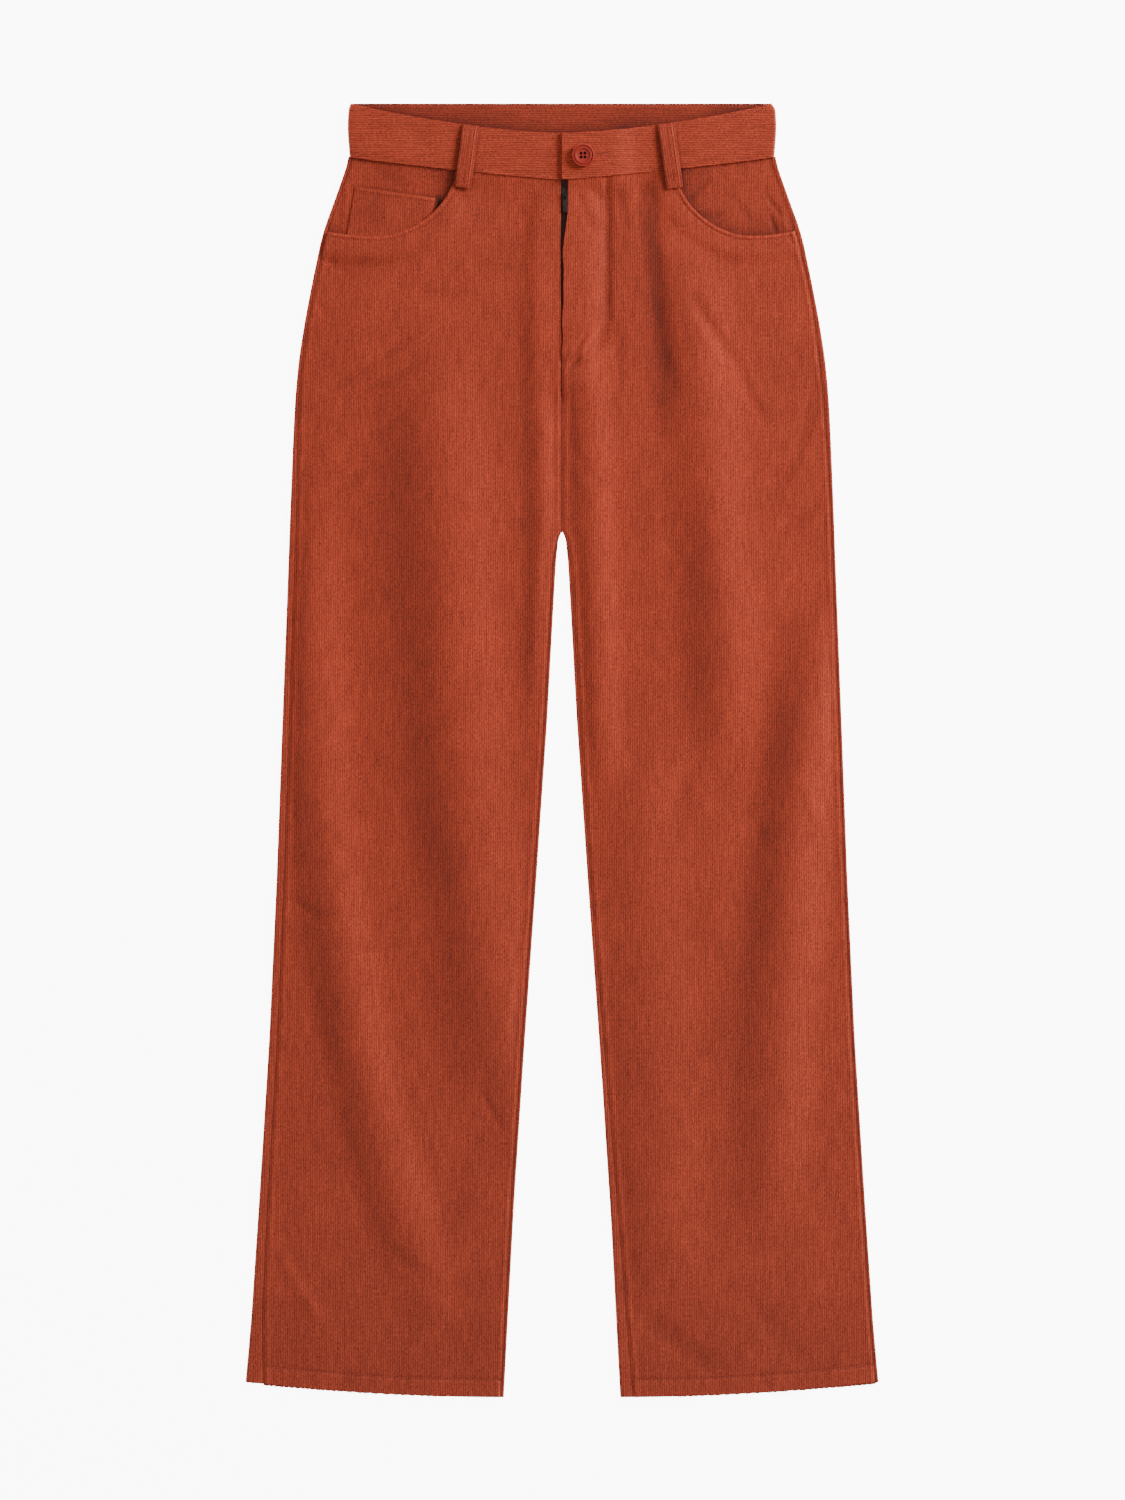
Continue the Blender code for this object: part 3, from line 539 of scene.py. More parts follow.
def hem_shape(x, y):
    """The turned-up hem: a doubled strip with a stitched groove along its top, roped by the sewing."""
    above = y - hem_line(x)
    turned = 0.32 * smooth((HEM_TURNING + 1.2 - above) / 2.0)
    groove = -0.60 * bell(above - HEM_TURNING, 1.8)
    rope = 0.05 * np.sin(2 * np.pi * (x + 0.5 * above) / 8.5) * smooth((HEM_TURNING + 4 - above) / 8)
    return turned + groove + rope


def edge_shade(x, y, side, seam_distance):
    """Painted shade along the sunk hem and seam lines, painted light on the raised hem strip and beside the
    seams, and a painted highlight on the folded scoop rim with painted shade in its stitch groove.
    """
    hem = hem_line(x) + HEM_TURNING - y
    hem_tone = -0.36 * bell(hem, 1.3) + 0.06 * smooth(hem / 2)
    seam_tone = -0.42 * np.exp(-((seam_distance / 1.1) ** 2)) + 0.10 * bell(seam_distance - 3.0, 2.0)
    edge = scoop_distance(x, y, side)
    rim_tone = (0.20 * bell(edge - 1.0, 1.6) - 0.20 * bell(edge - 3.6, 1.2)) * (y > 380)
    return hem_tone + seam_tone + rim_tone


# %% [markdown]
# ### Beside the loops and along the fly
# A belt loop stands up, and painted shadow darkens the cloth on both sides of it, more on the side away
# from the lamp. The fly's curved double row goes through several layers, so its line is sunk and the
# strip inside it is puffed.

# %% Beside the loops and along the fly
def loop_painted_shadow(x, y):
    """Painted shadow along both sides of each front belt loop, more on its shaded side."""
    tone = 0.0
    for top_x, foot_x, foot_y in FRONT_LOOPS.values():
        share = (front_top_edge(top_x) - y) / (front_top_edge(top_x) - foot_y)
        away = x - mix(top_x, foot_x, share)
        lit_side = 0.22 * bell(away - LOOP_HALF_WIDTH - 0.8, 2.4)
        shaded_side = 0.34 * bell(away + LOOP_HALF_WIDTH + 1.2, 3.4)
        live = smooth(share / 0.2) * smooth((1.04 - share) / 0.06)
        tone = tone - (lit_side + shaded_side) * live
    return tone


def fly_stitching(x, y, side):
    """The sunk line of the curved fly stitching, with a puffed strip inside it."""
    if side == RIGHT:
        return 0.0
    below = np.clip(FLY_TURN_Y - y, 0, None)
    radius = np.hypot(x - FLY_CURVE_X, below * 33 / FLY_CURVE_DROP)
    curved = radius - (FLY_STITCH_X - FLY_CURVE_X)
    away = np.where(y > FLY_TURN_Y, x - FLY_STITCH_X, curved)
    live = smooth((y - 306) / 8) * smooth((x + 1) / 3)
    pucker = 0.22 * np.sin(y / 3.7 + 0.2 * away) * np.sin(y / 11.0) * bell(away + 3, 10.0)
    return live * (-1.25 * bell(away, 5.0) + 0.30 * bell(away + 9, 7.0) + pucker)


# %% [markdown]
# ### Height of a front panel
# This adds everything up. Lifts and broad folds don't pile on each other, because cloth spans from one
# high place to the next, so the higher of the two wins, with the corner between them eased.

# %% Height of a front panel
def front_height(x, y, side, seam_distance):
    """Middle height of a front panel's cloth at signed x."""
    layers = soft_highest(pocket_lift(x, y, side), fly_lift(x, y, side), band_lift(x, y, side))
    fade = smooth(seam_distance / 14)
    folds = broad_folds(x, y) * fade
    detail = fine_creases(x, y) * smooth(seam_distance / 6) + 0.30 * slow_ripple(x, y, 4) * fade
    seam_dip = -0.75 * np.exp(-((seam_distance / 1.6) ** 2)) + 0.25 * bell(seam_distance - 3.5, 2.5)
    pucker = 0.10 * np.sin(y / 3.1) * np.sin(y / 7.7) * np.exp(-((seam_distance / 5) ** 2))
    lift = soft_highest(layers, folds) + detail + seam_dip + pucker + hem_shape(x, y)
    edge = scoop_distance(x, y, side)
    rim = 0.30 * bell(edge - 1.3, 1.5) - 0.35 * bell(edge - 3.6, 1.3)
    return waist_rise(y) + TOP_LAYER + np.maximum(lift, -0.25) + rim * (y > 380) + fly_stitching(x, y, side)


# %% [markdown]
# ## A helper that turns a grid into cloth
# Every cloth piece starts as a grid primitive. Its points are laid where the piece's own rule says,
# and each point also stores where it is on the cloth: how far across the ribs, how far along them and
# how much painted shade or light it carries. Solidify then gives the sheet its thickness.

# %% Cloth helper
cloth_pieces = []


def denser_at_ends(share, amount=0.6):
    return share - amount * np.sin(2 * np.pi * share) / (2 * np.pi)


def cloth(name, columns, rows, lay, thick, material):
    """A grid laid by lay(u, v), which gives x, y, z in mm, then across, along and shade."""
    bpy.ops.object.select_all(action="DESELECT")
    bpy.ops.mesh.primitive_grid_add(x_subdivisions=columns, y_subdivisions=rows, size=2)
    piece = bpy.context.object
    piece.name = name
    piece.data.name = name
    mesh = piece.data
    flat = np.empty(len(mesh.vertices) * 3)
    mesh.vertices.foreach_get("co", flat)
    u = (flat[0::3] + 1) / 2
    v = (1 - flat[1::3]) / 2
    x, y, z, across, along, shade = np.broadcast_arrays(*lay(u, v))
    mesh.vertices.foreach_set("co", (np.stack([x, y, z], 1) * MM).ravel())
    weave = mesh.attributes.new("weave", "FLOAT_VECTOR", "POINT")
    weave.data.foreach_set("vector", np.stack([across * MM, along * MM, shade], 1).ravel())
    mesh.update()
    if sum(p.normal.z for p in mesh.polygons) < 0:
        mesh.flip_normals()
    solidify = piece.modifiers.new("thickness", "SOLIDIFY")
    solidify.thickness = thick * MM
    solidify.offset = 0.0
    solidify.use_quality_normals = True
    bpy.ops.object.modifier_apply(modifier=solidify.name)
    bpy.ops.object.shade_smooth_by_angle(angle=math.radians(50))
    mesh.materials.append(material)
    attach(piece, "garment")
    cloth_pieces.append(piece)
    print(name, "triangles:", sum(len(p.vertices) - 2 for p in piece.data.polygons))
    return piece


# %% [markdown]
# ## Corduroy
# Corduroy has raised ribs of cut pile with thin grooves between them, here 1.85 mm apart. The pile
# catches light on the rib's crown, and the groove shows the darker ground weave. The tufts are never
# even, so the colour breaks into short dashes along the ribs. A little sheen lifts the edges, and the
# painted shade and light stored on the cloth make patches lighter or darker, so the ribs are drawn
# from the stored cloth place.


# %% Small node helpers
def add_node(tree, kind, **sockets):
    node = tree.nodes.new(kind)
    for key, value in sockets.items():
        socket = node.inputs[int(key[1:])] if key[1:].isdigit() else node.inputs[key.replace("_", " ")]
        if isinstance(value, bpy.types.NodeSocket):
            tree.links.new(value, socket)
        else:
            socket.default_value = value
    return node


def math_node(tree, operation, first, second=0.0, third=0.0):
    node = tree.nodes.new("ShaderNodeMath")
    node.operation = operation
    for socket, value in zip(node.inputs, (first, second, third)):
        if isinstance(value, bpy.types.NodeSocket):
            tree.links.new(value, socket)
        else:
            socket.default_value = value
    return node.outputs[0]


def color_mix(tree, share, first, second, blend="MIX"):
    node = tree.nodes.new("ShaderNodeMix")
    node.data_type = "RGBA"
    node.blend_type = blend
    for index, value in ((0, share), (6, first), (7, second)):
        if isinstance(value, bpy.types.NodeSocket):
            tree.links.new(value, node.inputs[index])
        else:
            node.inputs[index].default_value = value
    return node.outputs[2]


def noise(tree, vector, scale, detail=2.0, roughness=0.5):
    node = tree.nodes.new("ShaderNodeTexNoise")
    node.inputs["Scale"].default_value = scale
    node.inputs["Detail"].default_value = detail
    node.inputs["Roughness"].default_value = roughness
    tree.links.new(vector, node.inputs["Vector"])
    return node.outputs["Fac"]


def stretched(tree, across, along, share):
    """The place on the cloth with the way along the ribs shortened, so that a noise on it is drawn out."""
    length = math_node(tree, "MULTIPLY", along, share)
    return add_node(tree, "ShaderNodeCombineXYZ", X=across, Y=length).outputs[0]


# %% [markdown]
# ### The corduroy material
# The ribs are a sine wave of the stored distance across the cloth. Three noises drawn out along the
# ribs break them up: tufts of pile, dashes and broad patches. An image of corduroy would be quicker,
# but it would need a file and would repeat. The ribs stay as bump and colour, because 0.2 mm of
# relief over a whole pair of trousers would take millions of faces.

# %% The corduroy material
RIB_COLOR = (0.455, 0.0510, 0.0190, 1.0)
GREYER_RIB_COLOR = (0.440, 0.0590, 0.0260, 1.0)
GROOVE_COLOR = (0.130, 0.0140, 0.0060, 1.0)


def corduroy(name, crown_share, tuft_share):
    """crown_share is how much the ribs show, and tuft_share how uneven their pile is."""
    material = bpy.data.materials.new(name)
    material.use_nodes = True
    tree = material.node_tree
    shader = tree.nodes["Principled BSDF"]
    stored = tree.nodes.new("ShaderNodeAttribute")
    stored.attribute_name = "weave"
    parts = add_node(tree, "ShaderNodeSeparateXYZ", Vector=stored.outputs["Vector"]).outputs
    across, along, shade = parts[0], parts[1], parts[2]

    drift = noise(tree, stretched(tree, across, along, 0.5), 210.0, 2.0)
    drift = math_node(tree, "MULTIPLY", math_node(tree, "SUBTRACT", drift, 0.5), 0.0009)
    turn = math_node(tree, "MULTIPLY", math_node(tree, "ADD", across, drift), 2 * math.pi / (RIB * MM))
    wave = math_node(tree, "MULTIPLY_ADD", math_node(tree, "SINE", turn), 0.5, 0.5)
    crown = math_node(tree, "POWER", wave, 0.7)

    tufts = noise(tree, stretched(tree, across, along, 0.55), 820.0, 3.0, 0.75)
    dashes = noise(tree, stretched(tree, across, along, 0.13), 400.0, 3.0, 0.65)
    patches = noise(tree, stretched(tree, across, along, 0.5), 36.0, 4.0, 0.62)

    tuft_light = math_node(tree, "MULTIPLY_ADD", tufts, 1.5, -0.75)
    dash_light = math_node(tree, "MULTIPLY_ADD", dashes, 1.3, -0.65)
    pile = math_node(tree, "MULTIPLY_ADD", crown, crown_share, 0.50 - 0.6 * crown_share)
    pile = math_node(tree, "MULTIPLY_ADD", tuft_light, tuft_share, pile)
    pile = math_node(tree, "MULTIPLY_ADD", dash_light, 0.70, pile)
    # The ribs turn a little greyer towards the hems.
    towards_hem = math_node(tree, "MULTIPLY_ADD", along, -1.7, 0.15)
    rib_color = color_mix(tree, towards_hem, RIB_COLOR, GREYER_RIB_COLOR)
    base = color_mix(tree, math_node(tree, "MAXIMUM", pile, 0.06), GROOVE_COLOR, rib_color)

    patch_light = math_node(tree, "MULTIPLY_ADD", patches, 0.44, 0.78)
    # shade is the painted shade and light stored on each point, and it scales the colour.
    light = math_node(tree, "MULTIPLY", patch_light, math_node(tree, "ADD", shade, 1.0))
    grey = add_node(tree, "ShaderNodeCombineColor", Red=light, Green=light, Blue=light).outputs[0]
    tree.links.new(color_mix(tree, 1.0, base, grey, "MULTIPLY"), shader.inputs["Base Color"])

    crown_relief = math_node(tree, "MULTIPLY", crown, 0.42)
    relief = math_node(tree, "MULTIPLY_ADD", tuft_light, 0.75, crown_relief)
    relief = math_node(tree, "MULTIPLY_ADD", dash_light, 0.20, relief)
    bump = add_node(tree, "ShaderNodeBump", Height=relief, Distance=0.00042, Strength=0.75)
    tree.links.new(bump.outputs["Normal"], shader.inputs["Normal"])
    shader.inputs["Roughness"].default_value = 0.82
    shader.inputs["Specular IOR Level"].default_value = 0.25
    shader.inputs["Sheen Weight"].default_value = 0.22
    shader.inputs["Sheen Roughness"].default_value = 0.45
    shader.inputs["Sheen Tint"].default_value = (1.0, 0.62, 0.48, 1.0)
    return material


cord = corduroy("rust_corduroy", 0.33, 1.40)
band_cord = corduroy("rust_corduroy_band", 0.46, 1.50)
print("corduroy materials:", cord.name, "and", band_cord.name)

# %% [markdown]
# ## Back panels
# Each back panel lies on the floor and is folded round both edges of its leg, so it is one sheet with
# a tight turn along each side. Its section is laid by rolling along the cloth: flat underneath, half
# a circle at the edge, then a narrow strip on the front as far as the seam.


# %% Points round a leg's edge
def edge_point(roll, y):
    """Distance in from the outline, and height, at a place along the cloth from the outermost one."""
    centre = waist_rise(y) + CLOTH + GAP / 2
    inset = CLOTH / 2 + EDGE_RADIUS
    turn = np.clip(roll, -QUARTER_TURN, QUARTER_TURN) / EDGE_RADIUS
    beyond = np.abs(roll) - np.minimum(np.abs(roll), QUARTER_TURN)
    return inset - EDGE_RADIUS * np.cos(turn) + beyond, centre + EDGE_RADIUS * np.sin(turn)


def seam_roll(y, side, seam):
    return QUARTER_TURN + level(y, seam + "_" + SIDE_NAMES[side]) - CLOTH / 2 - EDGE_RADIUS


def seam_place(y, side, seam):
    """Distance from the centre line of the seam on the front."""
    inset, _ = edge_point(seam_roll(y, side, seam), y)
    if seam == "side":
        return level(y, "outer") - inset
    return level(y, "inner") + inset


# %% [markdown]
# ### The back panels
# The underside isn't seen when the trousers lie on a table, but the part can be turned over. So it has
# low creases of its own, about half a millimetre at most, because the table presses it flat.

# %% The back panels
# x_start, y_start, x_end, y_end, half_width, height
BACK_CREASES = (
    (-190, 240, -60, 205, 9, 0.34),
    (-120, 180, -20, 150, 8, 0.30),
    (20, 170, 95, 215, 10, 0.34),
    (110, 250, 200, 230, 8, 0.26),
    (-210, -150, -120, -162, 8, 0.34),
    (-90, -190, -45, -170, 7, 0.28),
    (70, -140, 160, -168, 9, 0.34),
    (180, -205, 225, -190, 7, 0.26),
    (-150, 400, -90, 330, 12, 0.28),
    (60, 410, 100, 320, 11, 0.30),
)


def back_section(u, y, side):
    """Distance from the centre line and height across a back panel, from inseam to side seam."""
    flat_share, turn_share = 0.62, 0.12
    edge_reach = QUARTER_TURN + 1.0
    inner_flat = edge_point(-edge_reach, y)[0] + level(y, "inner")
    outer_flat = level(y, "outer") - edge_point(-edge_reach, y)[0]
    side_share = 1 - flat_share - turn_share
    in_turn = np.clip((turn_share - u) / turn_share, 0, 1)
    out_turn = np.clip((u - turn_share - flat_share) / side_share, 0, 1)
    in_roll = mix(-edge_reach, seam_roll(y, side, "inseam") - GAP / 2, in_turn)
    out_roll = mix(-edge_reach, seam_roll(y, side, "side") - GAP / 2, out_turn**1.3)
    in_inset, in_z = edge_point(in_roll, y)
    out_inset, out_z = edge_point(out_roll, y)
    split = smooth((CROTCH - y) / 3)
    in_x = mix((1 - in_turn) * 3.0 - 0.2, level(y, "inner") + in_inset, split)
    in_z = mix(waist_rise(y) + CLOTH / 2, in_z, split)
    inner_flat = mix(2.8, inner_flat, split)
    middle = np.clip((u - turn_share) / flat_share, 0, 1)
    x = mix(inner_flat, outer_flat, middle)
    x = np.where(in_turn > 0, in_x, np.where(out_turn > 0, level(y, "outer") - out_inset, x))
    z = waist_rise(y) + CLOTH / 2
    z = np.where(in_turn > 0, in_z, np.where(out_turn > 0, out_z, z))
    strip = np.maximum(in_turn, out_turn) ** 6
    return x, z - 0.35 * strip * (z > CLOTH + GAP)


def back_panel(side):
    def lay(u, v):
        y = mix(BAND_SEAM + 0.8, HEM, v)
        hem_x = back_section(u, y, side)[0]
        y = np.where(v > 0.94, mix(y, hem_line(hem_x), (v - 0.94) / 0.06), y)
        x, z = back_section(u, y, side)
        crease = 0.20 * np.clip(slow_ripple(side * x, y, 11) - 0.15, 0, 1)
        crease = crease + fine_creases(side * x, y, BACK_CREASES)
        under = (z < CLOTH) * smooth((level(y, "outer") - x) / 25)
        # The shade is painted shade along the creases, with a random unevenness of tone.
        shade = 0.06 * slow_ripple(side * x, y, 29) - 0.4 * crease
        return side * x, y, z + crease * under, side * x, y, shade * under

    return cloth("back_leg_" + SIDE_NAMES[side], 84, 240, lay, CLOTH, cord)


back_legs = {side: back_panel(side) for side in (RIGHT, LEFT)}

# %% [markdown]
# ## Front panels
# The front panel's top follows the waistband seam and then the scoop, and its other three edges are
# the seams and the hem. Columns of the grid start along that top edge and ease into even spacing at
# the hip, so the ribs stay straight down the leg while the opening stays crisp.

# %% The front panels
FRONT_SHARES = (0.0, 0.44, 0.52, 0.60, 0.69, 0.79)
SCOOP_ANGLES = (0, 0, 25, 45, 66, 90)
EVEN_LEVEL = 381.0


def front_inner(y, side):
    fly_edge = from_table(FLY, FLY_COLUMNS, y, SIDE_NAMES[side])
    if side == LEFT:
        wave = 0.55 * np.sin(y / 5.7) * np.sin(y / 17.0)
        fly_edge = fly_edge + wave * smooth((y - FLY_END) / 12) * (y < 430)
    return np.where(y >= CROTCH - 3, fly_edge, seam_place(y, side, "inseam") + GAP / 2)


def front_top(u, side):
    """Where a front panel's column starts: along the waistband seam, then round the scoop."""
    scoop = SCOOPS[side]
    angle = np.radians(np.interp(u, FRONT_SHARES, SCOOP_ANGLES))
    reach = scoop["low_x"] - scoop["top_x"]
    on_scoop = scoop["low_x"] - reach * np.cos(angle) ** (2 / scoop["power"])
    on_band = mix(front_inner(FLY[0, 0], side), scoop["top_x"], u / FRONT_SHARES[1])
    foot = np.clip((u - FRONT_SHARES[-1]) / (1 - FRONT_SHARES[-1]), 0, 1)
    seam_x = seam_place(scoop["side_y"], side, "side") - GAP / 2
    x = np.where(u < FRONT_SHARES[1], on_band, on_scoop)
    x = np.where(foot > 0, mix(scoop["low_x"], seam_x, foot), x)
    y = np.where(u < FRONT_SHARES[1], band_seam(x) + 0.8, scoop_y(x, side))
    return x, np.minimum(y, band_seam(x) + 0.8)


def front_place(u, y, side):
    outer = seam_place(y, side, "side") - GAP / 2
    return mix(front_inner(y, side), outer, u)


def front_panel(side):
    def lay(u, v):
        u = denser_at_ends(u)
        top_x, top_y = front_top(u, side)
        y = mix(top_y, HEM, denser_at_ends(v, 0.72))
        y = np.where(v > 0.9, mix(y, hem_line(front_place(u, y, side)), (v - 0.9) / 0.1), y)
        fade = smooth((y - EVEN_LEVEL) / (top_y - EVEN_LEVEL))
        x = front_place(u, y, side) + (top_x - front_place(u, top_y, side)) * fade
        inner = front_inner(y, side)
        outer = seam_place(y, side, "side") - GAP / 2
        seam_distance = np.minimum(outer - x, np.where(y > FLY_END, 99, x - inner))
        z = front_height(side * x, y, side, seam_distance)
        shade = painted_shade_and_tone(side * x, y) * smooth(seam_distance / 12) + edge_shade(side * x, y, side, seam_distance)
        return side * x, y, z, side * x, y, shade + loop_painted_shadow(side * x, y)

    return cloth("front_leg_" + SIDE_NAMES[side], 112, 360, lay, CLOTH, cord)


front_legs = {side: front_panel(side) for side in (RIGHT, LEFT)}

# %% [markdown]
# ## Pocket bearers and coin pocket
# Behind each opening lies a bearer, sewn into the waistband and the side seam. The right one carries
# a small coin pocket with a folded top edge. Their feet are tucked under the front panel.

# %% Bearers
BEARER_MARGIN = 8.0
BEARER_START = BEARER_MARGIN - 1.5
COIN_MARGIN = 6.0
COIN_TOP_X, COIN_FOOT_X, COIN_TOP_Y = (-167.2, -103.0), (-175.0, -106.0), (456.4, 447.1)
# x_start, y_start, x_end, y_end, half_width, height
BEARER_CREASES = (
    (119, 462, 103, 444, 5.0, -0.60),
    (108, 433, 130, 434, 6.0, -0.40),
    (166, 449, 181, 430, 3.5, -0.65),
    (169, 433, 174, 419, 3.0, -0.95),
    (178, 436, 183, 420, 3.0, 0.45),
    (140, 448, 152, 430, 6.0, -0.30),
    (-176, 456, -181, 428, 3.0, -0.50),
    (-101, 448, -96, 432, 3.0, -0.50),
    (-150, 470, -128, 458, 8.0, -0.35),
)


def coin_top(x):
    """Height of the coin pocket's folded edge at signed x."""
    return mix(*COIN_TOP_Y, (x - COIN_TOP_X[0]) / (COIN_TOP_X[1] - COIN_TOP_X[0]))


def pocket_bearer(side):
    scoop = SCOOPS[side]

    def lay(u, v):
        seam_x = seam_place(mix(BAND_SEAM, scoop["side_y"] - BEARER_MARGIN, v), side, "side") - GAP / 2
        x = mix(scoop["top_x"] - BEARER_START, seam_x, u)
        y = mix(band_seam(x) + 0.8, scoop_y(x, side, BEARER_MARGIN), v)
        seam_x = seam_place(y, side, "side") - GAP / 2
        x = mix(scoop["top_x"] - BEARER_START, seam_x, u)
        z = waist_rise(y) + TOP_LAYER + 0.35 * slow_ripple(side * x, y, 8) * smooth((seam_x - x) / 12)
        z = z + fine_creases(side * x, y, BEARER_CREASES)
        depth = -scoop_distance(x, y, side)
        # tone here is mostly painted shade: darker deep inside the opening, along the side seam, just under the
        # band, in the creases and beside the loop, with random unevenness. On the right, painted shadow also
        # falls just above the coin pocket's top and in the corner at its right end.
        tone = -0.52 * np.exp(-np.clip(depth, 0, None) / 9) - 0.22 * np.exp(-((seam_x - x) / 1.2) ** 2)
        tone = tone + 0.18 * slow_ripple(side * x, y, 17) - 0.12 * smooth(1 - (band_seam(x) - y) / 11)
        tone = tone + 0.34 * fine_creases(side * x, y, BEARER_CREASES) + loop_painted_shadow(side * x, y)
        if side == RIGHT:
            over_coin = bell(y - coin_top(-x) - 1.0, 2.4) * (x > 101) * (x < 169)
            tone = tone - 0.24 * over_coin - 0.45 * bell(x - 99.0, 5.5) * bell(y - 443, 14)
        return side * x, y, z, side * x, y, tone

    return cloth("pocket_facing_" + SIDE_NAMES[side], 60, 40, lay, CLOTH, cord)


bearers = {side: pocket_bearer(side) for side in (RIGHT, LEFT)}


# %% [markdown]
# ### Coin pocket
# The small pocket's top edge is folded over and stitched, so it has a rounded ridge with a groove
# under it. It lies on the bearer, and its sides are pulled down where they are sewn.

# %% Coin pocket
def lay_coin_pocket(u, v):
    outer, inner = (mix(top, foot, v) for top, foot in zip(COIN_TOP_X, COIN_FOOT_X))
    x = mix(outer, inner, u)
    top_y = coin_top(mix(*COIN_TOP_X, u))
    y = mix(top_y, scoop_y(x, RIGHT, COIN_MARGIN), v)
    fold = 0.35 * bell(top_y - y - 1.0, 1.6) - 0.25 * bell(top_y - y - 3.6, 1.4)
    sewn = np.exp(-u * 30) + np.exp(-(1 - u) * 30)
    z = waist_rise(y) + TOP_LAYER + CLOTH / 2 + GAP + 0.5 + fold - 0.5 * sewn
    # tone is painted: a highlight on the folded top ridge, shade in the groove under it, light along the sewn
    # sides, and shade over the whole pocket and in a broad patch in its middle, with random unevenness.
    tone = 0.26 * bell(top_y - y - 1.0, 1.7) - 0.12 * bell(top_y - y - 4.0, 2.0)
    tone = tone + 0.16 * sewn - 0.16 * bell(x + 150, 16) * bell(y - 436, 28)
    return x, y, z, x + 3.0, y, tone - 0.05 + 0.10 * slow_ripple(x, y, 31)


coin_pocket = cloth("coin_pocket_patch", 50, 30, lay_coin_pocket, 1.0, cord)

# %% [markdown]
# ## Waistband
# The waistband is one doubled strip. It starts under the fly, runs round the back and ends on top of
# its own beginning, where the button holds it. Its ribs run along the band.

# %% Waistband path
ARC_STEPS = 12
BAND_STRAIGHT, FRONT_STEP, BACK_STEP = 165, 1.5, 4.0


def overlap_height(x):
    return mix(FRONT_BAND_Z, OVERLAP_Z, smooth((62 - x) / 20))


def band_turn(side, start, end):
    """Points round the fold at one side: x, z, lower edge and upper edge."""
    radius = (FRONT_BAND_Z - BACK_BAND_Z) / 2
    centre_x = WAIST_HALF - BAND_CLOTH / 2 - radius
    turn = np.radians(np.linspace(start, end, ARC_STEPS))
    front_share = (1 + np.cos(turn)) / 2
    x = side * (centre_x + radius * np.sin(turn))
    z = (FRONT_BAND_Z + BACK_BAND_Z) / 2 + radius * np.cos(turn)
    top = mix(TOP_EDGE, front_top_edge(WAIST_HALF - 2), front_share)
    return np.stack([x, z, np.full_like(x, BAND_SEAM), top], 1)


def band_run(start, end, step, height, seam, top):
    """Points along a straight stretch: x, z, lower edge and upper edge."""
    places = np.arange(start, end, step)
    return np.stack([places, height(places), seam(places), top(places)], 1)


def flat_at(value):
    return lambda x: np.full_like(x, value)


def band_path():
    front, back = (band_seam, front_top_edge), (flat_at(BAND_SEAM), flat_at(TOP_EDGE))
    runs = [
        band_run(UNDERLAP_END, -BAND_STRAIGHT, -FRONT_STEP, flat_at(FRONT_BAND_Z), *front),
        band_turn(RIGHT, 0, 180),
        band_run(-BAND_STRAIGHT, BAND_STRAIGHT, BACK_STEP, flat_at(BACK_BAND_Z), *back),
        band_turn(LEFT, 180, 0),
        band_run(BAND_STRAIGHT, -0.1, -FRONT_STEP, overlap_height, *front),
    ]
    return np.concatenate(runs)


BAND_PATH = band_path()
band_steps = np.hypot(*np.diff(BAND_PATH[:, :2], axis=0).T)
BAND_REACH = np.concatenate([[0], np.cumsum(band_steps)])
print("waistband runs", round(float(BAND_REACH[-1])), "mm")


# %% [markdown]
# ### Waistband cloth
# The strip is laid along the path above. The pile on the inside of the band is in shadow behind the
# front, so it is darkened towards the opening. Afterwards the stored tone is cleared from the faces
# that point down, because the outside of the back has no such shadow.

# %% Waistband cloth
def lay_waistband(u, v):
    place = u * (len(BAND_PATH) - 1)
    index = np.arange(len(BAND_PATH))
    x, z, seam, top = (np.interp(place, index, BAND_PATH[:, k]) for k in range(4))
    reach = np.interp(place, index, BAND_REACH)
    seam = seam + 1.4 * np.clip((place - len(BAND_PATH) + 3) / 2, 0, 1) ** 2
    y = mix(top, seam, v)
    round_off = np.where(x > 0, 2.8, 1.2) * smooth((y - TOP_EDGE + 7) / 7) ** 2
    bow = 1.6 * bell(y - 505, 30) - 0.5
    x = x + np.sign(x) * (bow - round_off) * smooth((np.abs(x) - 150) / 20)
    groove = -0.26 * bell(y - seam - 3.0, 1.3) - 0.16 * bell(top - y - 2.6, 1.2)
    groove = groove - 0.5 * smooth((4.0 - y + seam) / 4.0) * smooth((np.abs(x) - 60) / 20)
    outward = np.where(z > (FRONT_BAND_Z + BACK_BAND_Z) / 2, 1, -1)
    swell = 0.25 * np.sin(reach / 21.0) * np.sin(reach / 8.3) * bell(v - 0.5, 0.5)
    z = z + np.where(outward > 0, groove + swell * (z > FRONT_BAND_Z - 0.2), 0)
    inside = np.clip((y - front_top_edge(np.clip(x, -172, 172))) / 8, 0, None)
    # The outside gets a painted highlight along its top edge and a painted light and dark line at the seam
    # stitching. The inside gets painted shadow behind the front.
    shade = np.where(outward > 0, 0.03 + 0.12 * bell(top - y - 0.8, 1.8), -0.08 - 0.55 * np.exp(-inside))
    stitched = 0.07 * bell(y - seam - 1.2, 1.6) - 0.08 * bell(y - seam - 3.0, 1.2)
    ripple = np.where(outward > 0, 0.08, 0.14) * slow_ripple(reach, 2.2 * y, 41)
    return x, y, z, y, reach, shade + ripple + (stitched + loop_painted_shadow(x, y)) * (outward > 0)


waistband = cloth("waistband_strip", len(BAND_PATH) - 1, 34, lay_waistband, BAND_CLOTH, band_cord)
band_mesh = waistband.data
facing = np.empty(len(band_mesh.vertices) * 3)
band_mesh.vertices.foreach_get("normal", facing)
stored = np.empty(len(band_mesh.vertices) * 3)
band_mesh.attributes["weave"].data.foreach_get("vector", stored)
stored[2::3] *= facing[2::3] > -0.2
band_mesh.attributes["weave"].data.foreach_set("vector", stored)

